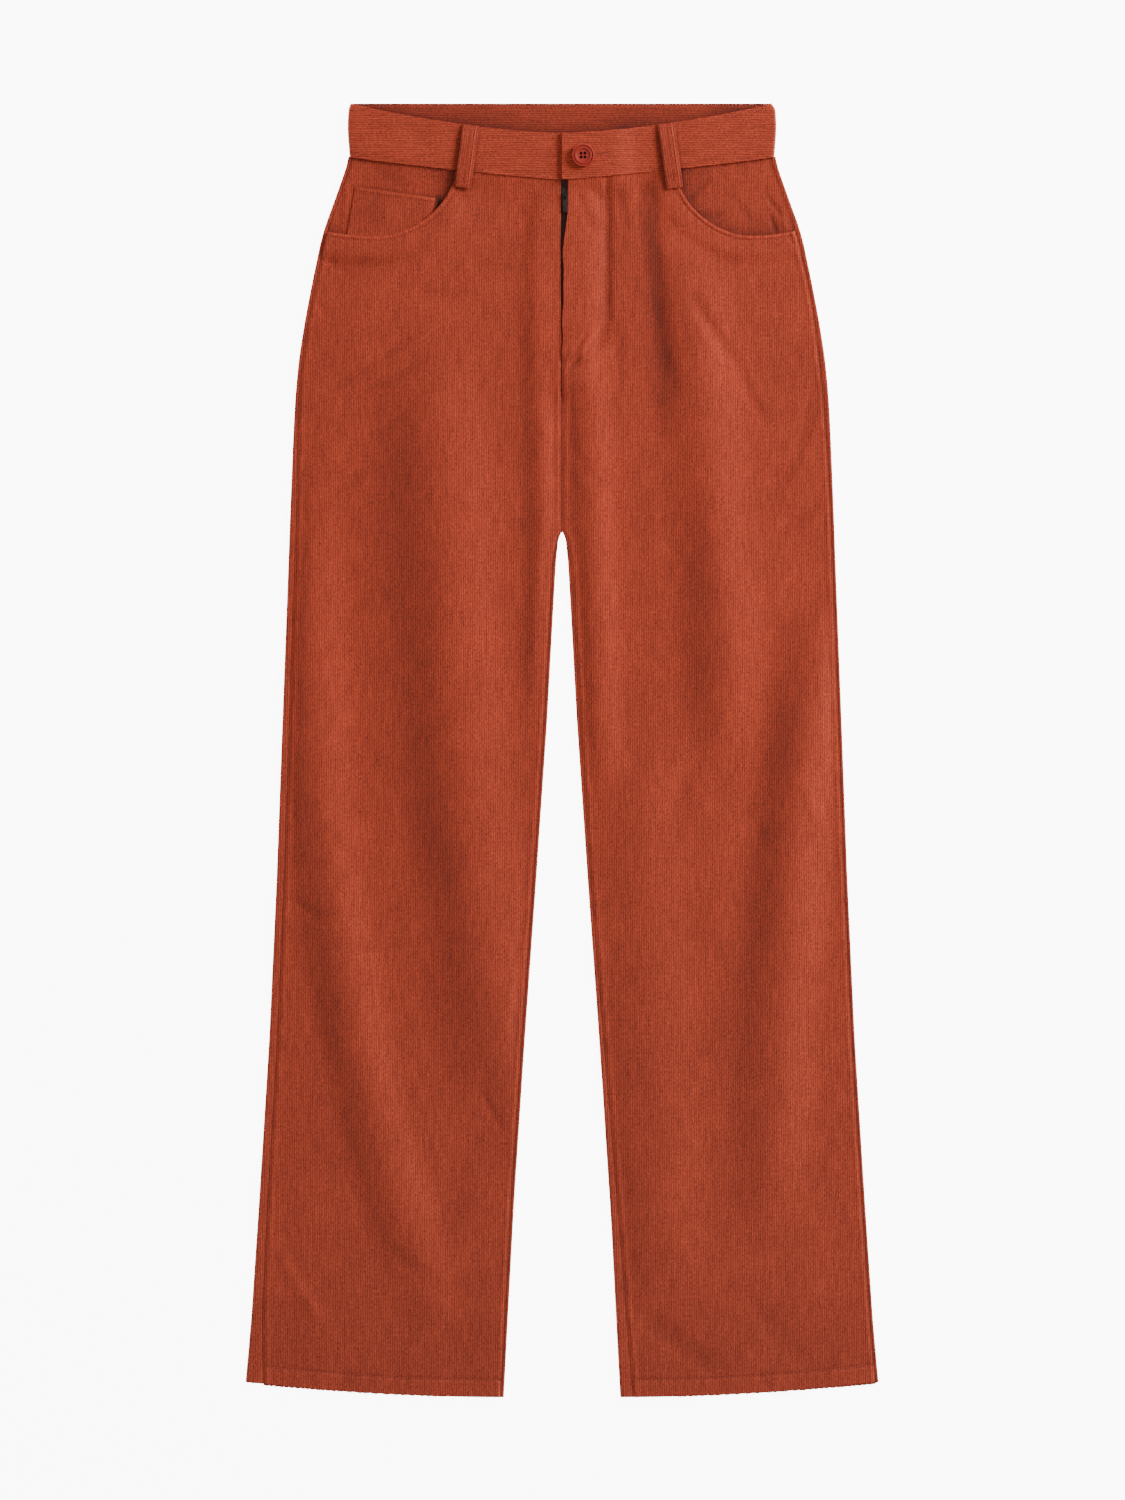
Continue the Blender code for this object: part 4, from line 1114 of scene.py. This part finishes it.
# %% [markdown]
# ## Belt loops
# A belt loop is a narrow strip whose raw edges are folded under and caught with two rows of cover
# stitch. The two front ones stand a little off the band. The back ones are pressed flat under it.

# %% Belt loops
LOOP_CLOTH = 1.6
BACK_LOOP_LENGTH = 50.0
BACK_LOOPS = {"back_centre": 0.0, "side_right": -112.0, "side_left": 112.0}


def loop_strip(top, foot, height, face, droop):
    """A strip from top to foot, both (x, y). height gives its middle, and face is 1 up or -1 down."""
    top, foot = np.array(top, float), np.array(foot, float)
    along = (top - foot) / np.hypot(*(top - foot))
    across = np.array((along[1], -along[0]))

    def lay(u, v):
        side_step = (u - 0.5) * 2 * LOOP_HALF_WIDTH
        x = mix(top[0], foot[0], v) + across[0] * side_step
        y = mix(top[1], foot[1], v) + across[1] * side_step
        middle_x, middle_y = mix(top[0], foot[0], v), mix(top[1], foot[1], v)
        ridges = bell(u - 0.60, 0.07) + bell(u - 0.80, 0.07)
        rounded = np.abs(2 * u - 1) ** 8
        z = height(middle_x, middle_y, v) + face * (0.20 * ridges - droop * rounded)
        # Painted highlight on the two stitched ridges, painted shade on the rounded edges and at the foot.
        shade = 0.12 * ridges - 0.34 * rounded - 0.20 * bell(v - 1.0, 0.03)
        return x, y, z, side_step, 50 * v, shade

    return lay


def front_loop_height(side):
    def under(x, y):
        spread = [front_height(x + k, y, side, np.full_like(x, 30.0)) for k in (-6.5, 0, 6.5)]
        on_panel = np.max(spread, axis=0) + CLOTH / 2
        on_band = FRONT_BAND_Z + BAND_CLOTH / 2
        return mix(on_panel, on_band, smooth((y - band_seam(x) + 6) / 5))

    def height(x, y, share):
        bulge = 1.1 * smooth(share / 0.25) * smooth((1 - share) / 0.3)
        return under(x, y) + GAP + 0.15 + LOOP_CLOTH / 2 + bulge

    return height


belt_loops = {}
for side, (top_x, foot_x, foot_y) in FRONT_LOOPS.items():
    name = "front_" + SIDE_NAMES[side]
    ends = ((top_x, float(front_top_edge(top_x))), (foot_x, foot_y))
    lay = loop_strip(*ends, front_loop_height(side), 1, 0.3)
    belt_loops[name] = cloth("loop_" + name, 30, 60, lay, LOOP_CLOTH, cord)
for name, x in BACK_LOOPS.items():
    ends = ((x, TOP_EDGE - GAP), (x, TOP_EDGE - BACK_LOOP_LENGTH))
    lay = loop_strip(*ends, lambda x, y, v: np.full_like(x, 0.75), -1, 0.1)
    belt_loops[name] = cloth("loop_" + name, 30, 20, lay, 1.0, cord)

# %% [markdown]
# ## Zip
# The fly zip is nearly hidden: only a narrow dark slot shows beside the flap. It still gets its two
# tapes, two rows of interlocking teeth, a slider and a pull tab, because the tab can be lifted. The
# tab is the only piece that moves without the cloth changing shape.

# %% Metal, tape and thread
def plain_paint(name, color, roughness, metallic=0.0, speckle=0.15, scale=900.0):
    """A paint with a fine uneven tone, so that it is never quite one colour."""
    material = bpy.data.materials.new(name)
    material.use_nodes = True
    tree = material.node_tree
    shader = tree.nodes["Principled BSDF"]
    place = tree.nodes.new("ShaderNodeTexCoord").outputs["Object"]
    grain = noise(tree, place, scale, 2.0)
    light = math_node(tree, "MULTIPLY_ADD", grain, 2 * speckle, 1.0 - speckle)
    grey = add_node(tree, "ShaderNodeCombineColor", Red=light, Green=light, Blue=light).outputs[0]
    tree.links.new(color_mix(tree, 1.0, color, grey, "MULTIPLY"), shader.inputs["Base Color"])
    shader.inputs["Roughness"].default_value = roughness
    shader.inputs["Metallic"].default_value = metallic
    return material


zip_metal = plain_paint("dark_zip_metal", (0.022, 0.017, 0.014, 1.0), 0.6, 0.25, 0.5, 700.0)
zip_metal.node_tree.nodes["Principled BSDF"].inputs["Specular IOR Level"].default_value = 0.25
tape_cloth = plain_paint("brown_zip_tape", (0.035, 0.010, 0.006, 1.0), 0.85, 0.0, 0.3)
thread_paint = plain_paint("rust_thread", (0.36, 0.040, 0.015, 1.0), 0.7, 0.0, 0.25)
button_plastic = plain_paint("rust_button_plastic", (0.270, 0.021, 0.012, 1.0), 0.5, 0.0, 0.10, 260.0)
button_plastic.node_tree.nodes["Principled BSDF"].inputs["Specular IOR Level"].default_value = 0.2
# Near-black paint that stands in for shade in the button holes and the buttonhole slit.
shade_dark_paint = plain_paint("painted_shade_dark", (0.05, 0.010, 0.006, 1.0), 0.9, 0.0, 0.2)
hard_paints = (zip_metal, tape_cloth, thread_paint, button_plastic, shade_dark_paint)
print("paints:", [paint.name for paint in hard_paints])


# %% [markdown]
# ### Helpers for hard pieces
# Small hard parts start as a box with bevelled edges, as on a real casting, where no edge is sharp.
# settle moves each piece's place into its mesh, paints it, and says on which body it rides and which
# plain solid it takes the place of.

# %% Hard-piece helpers
def settle(piece, body, material, slot_name, *nodes):
    """Puts the origin back at the frame's, gives the paint and says what the piece stands for."""
    bpy.ops.object.select_all(action="DESELECT")
    piece.select_set(True)
    bpy.context.view_layer.objects.active = piece
    bpy.ops.object.transform_apply(location=True, rotation=True, scale=True)
    piece.data.materials.clear()
    piece.data.materials.append(material)
    bpy.ops.object.shade_smooth_by_angle(angle=math.radians(35))
    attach(piece, body)
    for node in nodes:
        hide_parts(node)
    return piece


def block(name, low, high, bevel=0.0, segments=2):
    """A box between two corners in mm, with its edges bevelled."""
    bpy.ops.object.select_all(action="DESELECT")
    centre = [(a + b) / 2 * MM for a, b in zip(low, high)]
    bpy.ops.mesh.primitive_cube_add(size=1, location=centre)
    piece = bpy.context.object
    piece.name = name
    piece.scale = [(b - a) * MM for a, b in zip(low, high)]
    bpy.ops.object.transform_apply(location=True, rotation=True, scale=True)
    if bevel:
        bpy.ops.object.mode_set(mode="EDIT")
        bpy.ops.mesh.select_all(action="SELECT")
        bpy.ops.mesh.bevel(offset=bevel * MM, segments=segments, affect="EDGES")
        bpy.ops.object.mode_set(mode="OBJECT")
    return piece


# %% Joining and cutting
def join(pieces):
    bpy.ops.object.select_all(action="DESELECT")
    for piece in pieces:
        piece.select_set(True)
    bpy.context.view_layer.objects.active = pieces[0]
    bpy.ops.object.join()
    return bpy.context.object


def cut(piece, cutter):
    """Cuts one hole and removes the cutter."""
    modifier = piece.modifiers.new("hole", "BOOLEAN")
    modifier.operation = "DIFFERENCE"
    modifier.solver = "EXACT"
    modifier.object = cutter
    bpy.context.view_layer.objects.active = piece
    bpy.ops.object.modifier_apply(modifier=modifier.name)
    bpy.data.objects.remove(cutter, do_unlink=True)


# %% [markdown]
# ### Zip tapes
# Each tape is a narrow woven ribbon that the teeth are clamped to. The two lie close together above
# the slider and part round it, so they are laid as cloth with an inner edge that steps out.

# %% Zip tapes
TAPE_TOP, TAPE_BOTTOM, TAPE_WIDTH = 461.0, 320.0, 10.6
CHAIN_TOP, CHAIN_HALF, CHAIN_THICK = 445.8, 2.2, 2.0
SLIDER_HALF, SLIDER_LENGTH, SLIDER_THICK = 2.9, 10.0, 2.8
TOOTH_PITCH = 2.0

for side in (RIGHT, LEFT):

    def lay_tape(u, v, side=side):
        y = mix(TAPE_TOP, TAPE_BOTTOM, v)
        inner = np.where(y > CHAIN_TOP - 3, SLIDER_HALF, CHAIN_HALF) + GAP
        inner = np.where(y > CHAIN_TOP + SLIDER_LENGTH + 0.4, GAP / 2, inner)
        x = ZIP_X + side * mix(inner, CHAIN_HALF + TAPE_WIDTH, u)
        z = ZIP_FLOOR + 0.5 + 0.12 * bell(u - 0.08, 0.08)
        return x, y, z, x, y, 0.0

    tape = cloth("zip_tape_strip_" + SIDE_NAMES[side], 10, 140, lay_tape, 0.9, tape_cloth)
    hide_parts("zip_tape_" + SIDE_NAMES[side])
    flat = (TAPE_WIDTH * MM, (TAPE_TOP - TAPE_BOTTOM) * MM)

# %% [markdown]
# ### Zip teeth
# A tooth is modelled as a bevelled block, and the two rows are half a pitch apart so that they mesh.
# The closed chain never opens here, so all the teeth are joined as one piece.

# %% Zip teeth
teeth = []
tooth_count = int((CHAIN_TOP - TAPE_BOTTOM - 4) / TOOTH_PITCH)
for index in range(tooth_count):
    for side in (RIGHT, LEFT):
        y = CHAIN_TOP - 0.5 - TOOTH_PITCH * (index + (0.5 if side == LEFT else 0.0))
        ends = sorted((ZIP_X - side * 0.9, ZIP_X + side * CHAIN_HALF))
        low = (ends[0], y - 0.42, ZIP_FLOOR)
        high = (ends[1], y + 0.42, ZIP_FLOOR + CHAIN_THICK)
        teeth.append(block("zip_tooth", low, high, 0.18, 1))
zip_teeth = settle(join(teeth), "garment", zip_metal, "zip_metal", "zip_chain")
zip_teeth.name = "zip_teeth"
print("teeth a side:", tooth_count)

# %% [markdown]
# ### Slider and pull tab
# The slider is a rounded block with a ring, the bail, on its top. The tab is a flat plate with a slot,
# and its end bar turns inside the bail, so it is a piece of its own that rides on the moving body.

# %% Slider and pull tab
BAIL_Y, BAIL_RADIUS, BAIL_WIRE = 449.6, 2.1, 0.45
PULL_PIVOT = (ZIP_X, 449.0, 5.95)
PULL_HALF, PULL_LENGTH, PULL_THICK = 1.8, 14.0, 0.8

slider_low = CHAIN_TOP + GAP
slider_top = ZIP_FLOOR + SLIDER_THICK
low = (ZIP_X - SLIDER_HALF, slider_low, ZIP_FLOOR)
high = (ZIP_X + SLIDER_HALF, slider_low + SLIDER_LENGTH, slider_top)
slider_body = block("slider_body", low, high, 0.7, 3)
bpy.ops.object.select_all(action="DESELECT")
bpy.ops.mesh.primitive_torus_add(
    major_segments=24,
    minor_segments=8,
    major_radius=BAIL_RADIUS * MM,
    minor_radius=BAIL_WIRE * MM,
    location=(ZIP_X * MM, BAIL_Y * MM, (slider_top + 0.1) * MM),
    rotation=(0, math.pi / 2, 0),
)
bail = bpy.context.object
slider = settle(join([slider_body, bail]), "garment", zip_metal, "zip_metal", "zip_slider")
slider.name = "zip_slider_body"

low = (PULL_PIVOT[0] - PULL_HALF, PULL_PIVOT[1] + 0.4 - PULL_LENGTH, PULL_PIVOT[2] - PULL_THICK / 2)
high = (PULL_PIVOT[0] + PULL_HALF, PULL_PIVOT[1] + 0.4, PULL_PIVOT[2] + PULL_THICK / 2)
pull = block("zip_pull_plate", low, high, 0.25, 2)
low = (PULL_PIVOT[0] - 1.0, PULL_PIVOT[1] - 3.2, 0)
high = (PULL_PIVOT[0] + 1.0, PULL_PIVOT[1] - 0.4, 12)
cut(pull, block("eye", low, high, 0.5, 3))
settle(pull, "zip_pull_tab", zip_metal, "zip_metal", "zip_pull")
print("slider top:", round(slider_top, 2), "mm; tab:", PULL_LENGTH, "mm long")

# %% [markdown]
# ## Button
# A four-hole button is turned from a disc: the rim stands proud, the middle is dished and the edges
# are rounded. Any lettering on the rim is left off, so the part stays generic.

# %% The button
BUTTON_PLACE = (17.0, 481.3)
BUTTON_RADIUS, BUTTON_THICK = 9.2, 3.4
HOLE_RADIUS, HOLE_REACH = 1.25, 2.2
# inset, depth
FACE_STEPS = ((0.3, 0.2), (0.8, 0.1), (0.3, -0.8), (0.5, 0.0), (0.3, 0.6), (1.4, 0.0), (0.7, -0.8))
BUTTON_BASE = OVERLAP_Z + BAND_CLOTH / 2 + GAP

bpy.ops.object.select_all(action="DESELECT")
bpy.ops.mesh.primitive_cylinder_add(
    vertices=64,
    radius=BUTTON_RADIUS * MM,
    depth=BUTTON_THICK * MM,
    location=(BUTTON_PLACE[0] * MM, BUTTON_PLACE[1] * MM, (BUTTON_BASE + BUTTON_THICK / 2) * MM),
)
button = bpy.context.object
button.name = "button_disc"
bpy.ops.object.mode_set(mode="EDIT")
bpy.ops.mesh.select_mode(type="FACE")
bpy.ops.mesh.select_all(action="DESELECT")
bpy.ops.object.mode_set(mode="OBJECT")
for face in button.data.polygons:
    face.select = face.normal.z > 0.9
bpy.ops.object.mode_set(mode="EDIT")
for inset, depth in FACE_STEPS:
    bpy.ops.mesh.inset(thickness=inset * MM, depth=depth * MM)
bpy.ops.object.mode_set(mode="OBJECT")
rounding = button.modifiers.new("rounding", "BEVEL")
rounding.width = 0.15 * MM
rounding.segments = 3
rounding.limit_method = "ANGLE"
rounding.angle_limit = math.radians(28)
bpy.ops.object.modifier_apply(modifier=rounding.name)

# %% [markdown]
# ### Holes and thread
# The four holes are cut with a boolean, one cylinder each, as a drill would. A knot of thread sits in
# each hole, painted near black as painted shade. Without it the holes would show the band underneath.

# %% Holes and thread
hole_places = []
for corner in range(4):
    turn = math.radians(45 + 90 * corner)
    hole_x = BUTTON_PLACE[0] + HOLE_REACH * math.cos(turn)
    hole_places.append((hole_x * MM, (BUTTON_PLACE[1] + HOLE_REACH * math.sin(turn)) * MM))
for place in hole_places:
    bpy.ops.mesh.primitive_cylinder_add(
        vertices=20, radius=HOLE_RADIUS * MM, depth=12 * MM, location=(*place, 11 * MM)
    )
    cut(button, bpy.context.object)
settle(button, "garment", button_plastic, "button", "button")
print("button faces:", len(button.data.polygons))

ties = []
for place in hole_places:
    bpy.ops.object.select_all(action="DESELECT")
    bpy.ops.mesh.primitive_uv_sphere_add(
        segments=12, ring_count=8, radius=0.95 * MM, location=(*place, 10.4 * MM)
    )
    ties.append(bpy.context.object)
tie_thread = settle(join(ties), "garment", shade_dark_paint, "button")
tie_thread.name = "button_tie_thread"

# %% [markdown]
# ## Stitching
# One stitch is modelled once as a small rounded rod. Rows of it are laid along the seams, dropped on
# to the finished cloth from above, so every stitch sits just on the surface below it.

# %% Finding the surface
bpy.context.view_layer.update()
corners, faces = [], []
for piece in cloth_pieces:
    start = len(corners)
    corners.extend(piece.matrix_world @ vertex.co for vertex in piece.data.vertices)
    faces.extend([start + index for index in polygon.vertices] for polygon in piece.data.polygons)
cloth_surface = BVHTree.FromPolygons(corners, faces)
print("cloth faces to sew on:", len(faces))


def height_over(x, y):
    """Height in mm of the topmost cloth at a point, or None beside it."""
    hit = cloth_surface.ray_cast(Vector((x * MM, y * MM, 0.05)), Vector((0, 0, -1)))[0]
    return None if hit is None else hit.z / MM


# %% [markdown]
# ### One stitch
# A ball with few faces, drawn out along the seam, is a good stitch from a hand's width away. There
# are a great many, so it stays small, and all the rows of one kind are one mesh.

# %% One stitch
STITCH_SINK = 0.2

bpy.ops.object.select_all(action="DESELECT")
bpy.ops.mesh.primitive_uv_sphere_add(segments=6, ring_count=4, radius=0.5)
one_stitch = bpy.context.object
STITCH_POINTS = np.array([v.co for v in one_stitch.data.vertices])
STITCH_FACES = [tuple(p.vertices) for p in one_stitch.data.polygons]
bpy.data.objects.remove(one_stitch, do_unlink=True)

print("faces in one stitch:", len(STITCH_FACES))


# %% [markdown]
# ### Rows of stitches
# A row is a line of corners. Stitches are set along it at even steps, turned to run with it, tilted
# with the cloth and sunk a little into the pile. A step that meets a fold or an edge is skipped.

# %% Rows of stitches
def spaced(points, pitch):
    """Points at even steps along a line of (x, y) corners, with the direction at each."""
    points = np.asarray(points, float)
    steps = np.hypot(*np.diff(points, axis=0).T)
    reach = np.concatenate([[0], np.cumsum(steps)])
    spots = np.arange(pitch / 2, reach[-1], pitch)
    middle = np.stack([np.interp(spots, reach, points[:, k]) for k in (0, 1)], 1)
    ahead = np.stack([np.interp(spots + 0.4, reach, points[:, k]) for k in (0, 1)], 1)
    behind = np.stack([np.interp(spots - 0.4, reach, points[:, k]) for k in (0, 1)], 1)
    run = ahead - behind
    return middle, run / np.hypot(*run.T)[:, None]


def stitches(name, lines, pitch=3.1, length=2.5, thread=0.5, turn=0.0, material=thread_paint):
    """Rows of stitches in one mesh. Each line is a list of (x, y) in mm; turn slants every stitch."""
    placed, polygons = [], []
    for line in lines:
        for (x, y), (run_x, run_y) in zip(*spaced(line, pitch)):
            cos, sin = math.cos(turn), math.sin(turn)
            ahead = np.array((run_x * cos - run_y * sin, run_x * sin + run_y * cos))
            reach = ahead * length / 2
            tips = [height_over(x + k * reach[0], y + k * reach[1]) for k in (-1, 1)]
            if None in tips:
                continue
            rise = (tips[1] - tips[0]) / length
            if abs(rise) > 0.8:
                continue
            local = STITCH_POINTS * (length, thread, thread)
            world = np.empty_like(local)
            world[:, 0] = x + local[:, 0] * ahead[0] - local[:, 1] * ahead[1]
            world[:, 1] = y + local[:, 0] * ahead[1] + local[:, 1] * ahead[0]
            world[:, 2] = sum(tips) / 2 + thread / 2 - STITCH_SINK + local[:, 2] + local[:, 0] * rise
            start = len(placed) * len(STITCH_POINTS)
            polygons.extend(tuple(start + k for k in face) for face in STITCH_FACES)
            placed.append(world)
    mesh = bpy.data.meshes.new(name)
    mesh.from_pydata(np.concatenate(placed) * MM, [], polygons)
    piece = bpy.data.objects.new(name, mesh)
    bpy.context.scene.collection.objects.link(piece)
    settle(piece, "garment", material, "corduroy")
    print(name, len(placed), "stitches")


def line_of(function, start, end, count=80):
    spots = np.linspace(start, end, count)
    return [(x, float(function(x))) for x in spots]


def parallel(line, offset):
    """The same line moved sideways, to the left of its direction if offset is positive."""
    line = np.asarray(line, float)
    run = np.gradient(line, axis=0)
    run /= np.hypot(*run.T)[:, None]
    return line + np.stack([-run[:, 1], run[:, 0]], 1) * offset


# %% [markdown]
# ### Rows on the legs
# The hem has one row along its top. The pocket opening, the fly and the coin pocket are stitched
# close to their edges, and each row is worked out from the edge that it follows.

# %% Hem rows
hem_rows = []
for side in (RIGHT, LEFT):
    row = line_of(lambda x: hem_line(x) + HEM_TURNING, side * 49.5, side * 255)
    hem_rows.append(row)
stitches("hem_stitching", hem_rows)

# %% Pocket rows
scoop_rows = []
for side in (RIGHT, LEFT):
    scoop = SCOOPS[side]
    angles = np.radians(np.linspace(2, 90, 60))
    reach, drop = scoop["low_x"] - scoop["top_x"], SCOOP_TOP - scoop["low_y"]
    x = scoop["low_x"] - reach * np.cos(angles) ** (2 / scoop["power"])
    edge = [(side * a, float(scoop_y(a, side))) for a in x]
    foot_end = float(seam_place(scoop["side_y"], side, "side")) - 2
    edge += [(side * a, float(scoop_y(a, side))) for a in np.linspace(scoop["low_x"] + 1, foot_end, 20)]
    scoop_rows.append(parallel(edge, -3.6 * side))
scoop_rows.append([(106.0, 437.0), (123.0, 441.0)])
stitches("pocket_edge_stitching", scoop_rows, pitch=2.8, length=2.2, thread=0.5)

# %% Fly and coin pocket rows
fly_reach = FLY_STITCH_X - FLY_CURVE_X
fly_row = [(FLY_STITCH_X, 459.0), (FLY_STITCH_X, 400.0)]
for turn in np.linspace(0.0, 1.45, 24):
    drop = FLY_CURVE_DROP * math.sin(turn)
    fly_row.append((FLY_CURVE_X + fly_reach * math.cos(turn), FLY_TURN_Y - drop))
stitches("fly_stitching", [fly_row, parallel(fly_row, 6.4)], pitch=2.9, length=2.3, thread=0.5)

coin_row = [(-166.0, 454.2), (-104.5, 445.0)]
coin_sides = [[(-169.6, 454.0), (-173.8, 424.0)], [(-105.2, 446.0), (-106.6, 425.0)]]
stitches("coin_pocket_stitching", [coin_row] + coin_sides, pitch=2.6, length=2.0, thread=0.45)

# %% [markdown]
# ### Rows on the waistband and loops
# The band is stitched along the edges that show. The loops carry two rows of cover stitch and a dense bar tack at
# each end, which takes the strain.

# %% Waistband rows
top_row = line_of(lambda x: front_top_edge(x) - 2.6, -168, 168, 160)
seam_row = line_of(lambda x: band_seam(x) + 3.0, -168, -1, 80)
seam_row_left = line_of(lambda x: band_seam(x) + 3.0, 5, 168, 80)
inside_row = [(-166, TOP_EDGE - 2.6), (166, TOP_EDGE - 2.6)]
end_row = [(2.6, 496.0), (2.6, 470.0)]
rows = [top_row, seam_row, seam_row_left, inside_row, end_row]
stitches("waistband_stitching", rows, pitch=2.8, length=2.2, thread=0.5)

# %% Loop rows and tacks
loop_rows, tack_rows = [], []
for side, (top_x, foot_x, foot_y) in FRONT_LOOPS.items():
    top_y = float(front_top_edge(top_x))
    for share in (0.60, 0.80):
        step = (share - 0.5) * 2 * LOOP_HALF_WIDTH
        loop_rows.append([(top_x + step, top_y - 1.5), (foot_x + step, foot_y + 1.5)])
    for x, y in ((top_x, top_y - 3.0), (foot_x, foot_y + 2.5)):
        tack_rows.append([(x - 5.2, y), (x + 5.2, y)])
tack_rows.append([(-6.0, TOP_EDGE - 1.6), (8.0, TOP_EDGE - 1.6)])
stitches("loop_cover_stitching", loop_rows, pitch=2.4, length=1.9, thread=0.45)
stitches("bar_tacks", tack_rows, pitch=0.6, length=1.9, thread=0.45, turn=math.pi / 2)

# %% [markdown]
# ### Buttonhole
# Two rows of dense slanted stitches stand on each side of a slit. The slit is a thin rod painted near
# black as painted shade, and no real opening, because nothing shows through it.

# %% Buttonhole
hole_start, hole_end = np.array((27.2, 482.4)), np.array((40.0, 484.2))
slit = [tuple(hole_start), tuple(hole_end)]
stitches("buttonhole_edges", [parallel(slit, 1.0), parallel(slit, -1.0)], 0.62, 1.5, 0.42, 1.35)
slit_length = float(np.hypot(*(hole_end - hole_start)))
stitches("buttonhole_slit", [slit], slit_length, slit_length, 0.5, 0.0, shade_dark_paint)

# %% [markdown]
# ## The pieces and their cuts
# A new piece replaces its plain solid and rides on its body.
# The size each cloth piece was cut to is worked out and printed.

# %% Sizes of the cuts
def cut_of(inside, x_range, y_range, steps=500):
    """Width, length and area in metres of the cloth inside a rectangle in mm."""
    x, y = np.meshgrid(np.linspace(*x_range, steps), np.linspace(*y_range, steps))
    found = inside(x, y)
    width, length = np.ptp(x[found]), np.ptp(y[found])
    area = found.mean() * (x_range[1] - x_range[0]) * (y_range[1] - y_range[0])
    return (float(width) * MM, float(length) * MM), float(area) * MM * MM


def back_cut(side):
    """A back panel rolled out flat, from its inseam or centre seam to its side seam."""

    def inside(x, y):
        reach = QUARTER_TURN + 1.0
        bend = edge_point(-reach, y)[0]
        outer = level(y, "outer") - bend + reach + seam_roll(y, side, "side")
        inner = level(y, "inner") + bend - reach - seam_roll(y, side, "inseam")
        return (x > np.where(y < CROTCH, inner, 0)) & (x < outer) & (y > hem_line(x))

    return cut_of(inside, (-20, 300), (HEM, BAND_SEAM))


def front_cut(side):
    def inside(x, y):
        outer = seam_place(y, side, "side")
        top = np.minimum(scoop_y(x, side), band_seam(x))
        return (x > front_inner(y, side)) & (x < outer) & (y > hem_line(x)) & (y < top)

    return cut_of(inside, (-20, 300), (HEM, BAND_SEAM))


# %% Cuts of the small pieces
def bearer_cut(side):
    def inside(x, y):
        outer = seam_place(y, side, "side")
        start = SCOOPS[side]["top_x"] - BEARER_START
        foot = scoop_y(x, side, BEARER_MARGIN)
        return (x > start) & (x < outer) & (y > foot) & (y < band_seam(x))

    return cut_of(inside, (60, 230), (380, BAND_SEAM))


COIN_CUT_X = (-171.0, -104.5)


def coin_cut():
    """The coin pocket with straight sides, halfway between its top and its foot."""

    def inside(x, y):
        foot = scoop_y(x, RIGHT, COIN_MARGIN)
        return (x > COIN_CUT_X[0]) & (x < COIN_CUT_X[1]) & (y > foot) & (y < coin_top(x))

    return cut_of(inside, (-180, -90), (380, BAND_SEAM))


def band_cut():
    heights = BAND_PATH[:, 3] - BAND_PATH[:, 2]
    steps = np.diff(BAND_REACH)
    area = float((steps * (heights[1:] + heights[:-1]) / 2).sum()) * MM * MM
    return (float(BAND_REACH[-1]) * MM, float(heights.max()) * MM), area


def loop_cut(name):
    if name not in ("front_right", "front_left"):
        return (2 * LOOP_HALF_WIDTH * MM, (BACK_LOOP_LENGTH - GAP) * MM), None
    top_x, foot_x, foot_y = FRONT_LOOPS[RIGHT if name == "front_right" else LEFT]
    length = math.hypot(top_x - foot_x, float(front_top_edge(top_x)) - foot_y)
    return (2 * LOOP_HALF_WIDTH * MM, length * MM), None


# %% [markdown]
# Each row has the piece, its plain solid, its cut and what it rests on.

BACK_LOOP_PIECES = ["loop_back_centre", "loop_side_right", "loop_side_left"]
declared = [
    (waistband, "waistband", band_cut(), BACK_LOOP_PIECES + ["back_leg_right", "back_leg_left"]),
    (coin_pocket, "coin_pocket", coin_cut(), ["pocket_facing_right"]),
]
for side, word in SIDE_NAMES.items():
    under_front = ["back_leg_" + word, "pocket_facing_" + word, "zip_tape_strip_" + word]
    declared.append((back_legs[side], "back_" + word, back_cut(side), ["floor"]))
    declared.append((front_legs[side], "front_" + word, front_cut(side), under_front))
    declared.append((bearers[side], "pocket_bearer_" + word, bearer_cut(side), ["back_leg_" + word]))
    loop = "front_" + word
    under_loop = ["waistband_strip", "front_leg_" + word]
    declared.append((belt_loops[loop], "belt_loop_" + loop, loop_cut(loop), under_loop))
for name in BACK_LOOPS:
    declared.append((belt_loops[name], "belt_loop_" + name, loop_cut(name), ["floor"]))

for piece, node, (flat, area), under in declared:
    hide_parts(node)
    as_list(under)
    print(node, "flat in mm:", [round(1000 * k, 1) for k in flat], "area in m2:", area and round(area, 5))
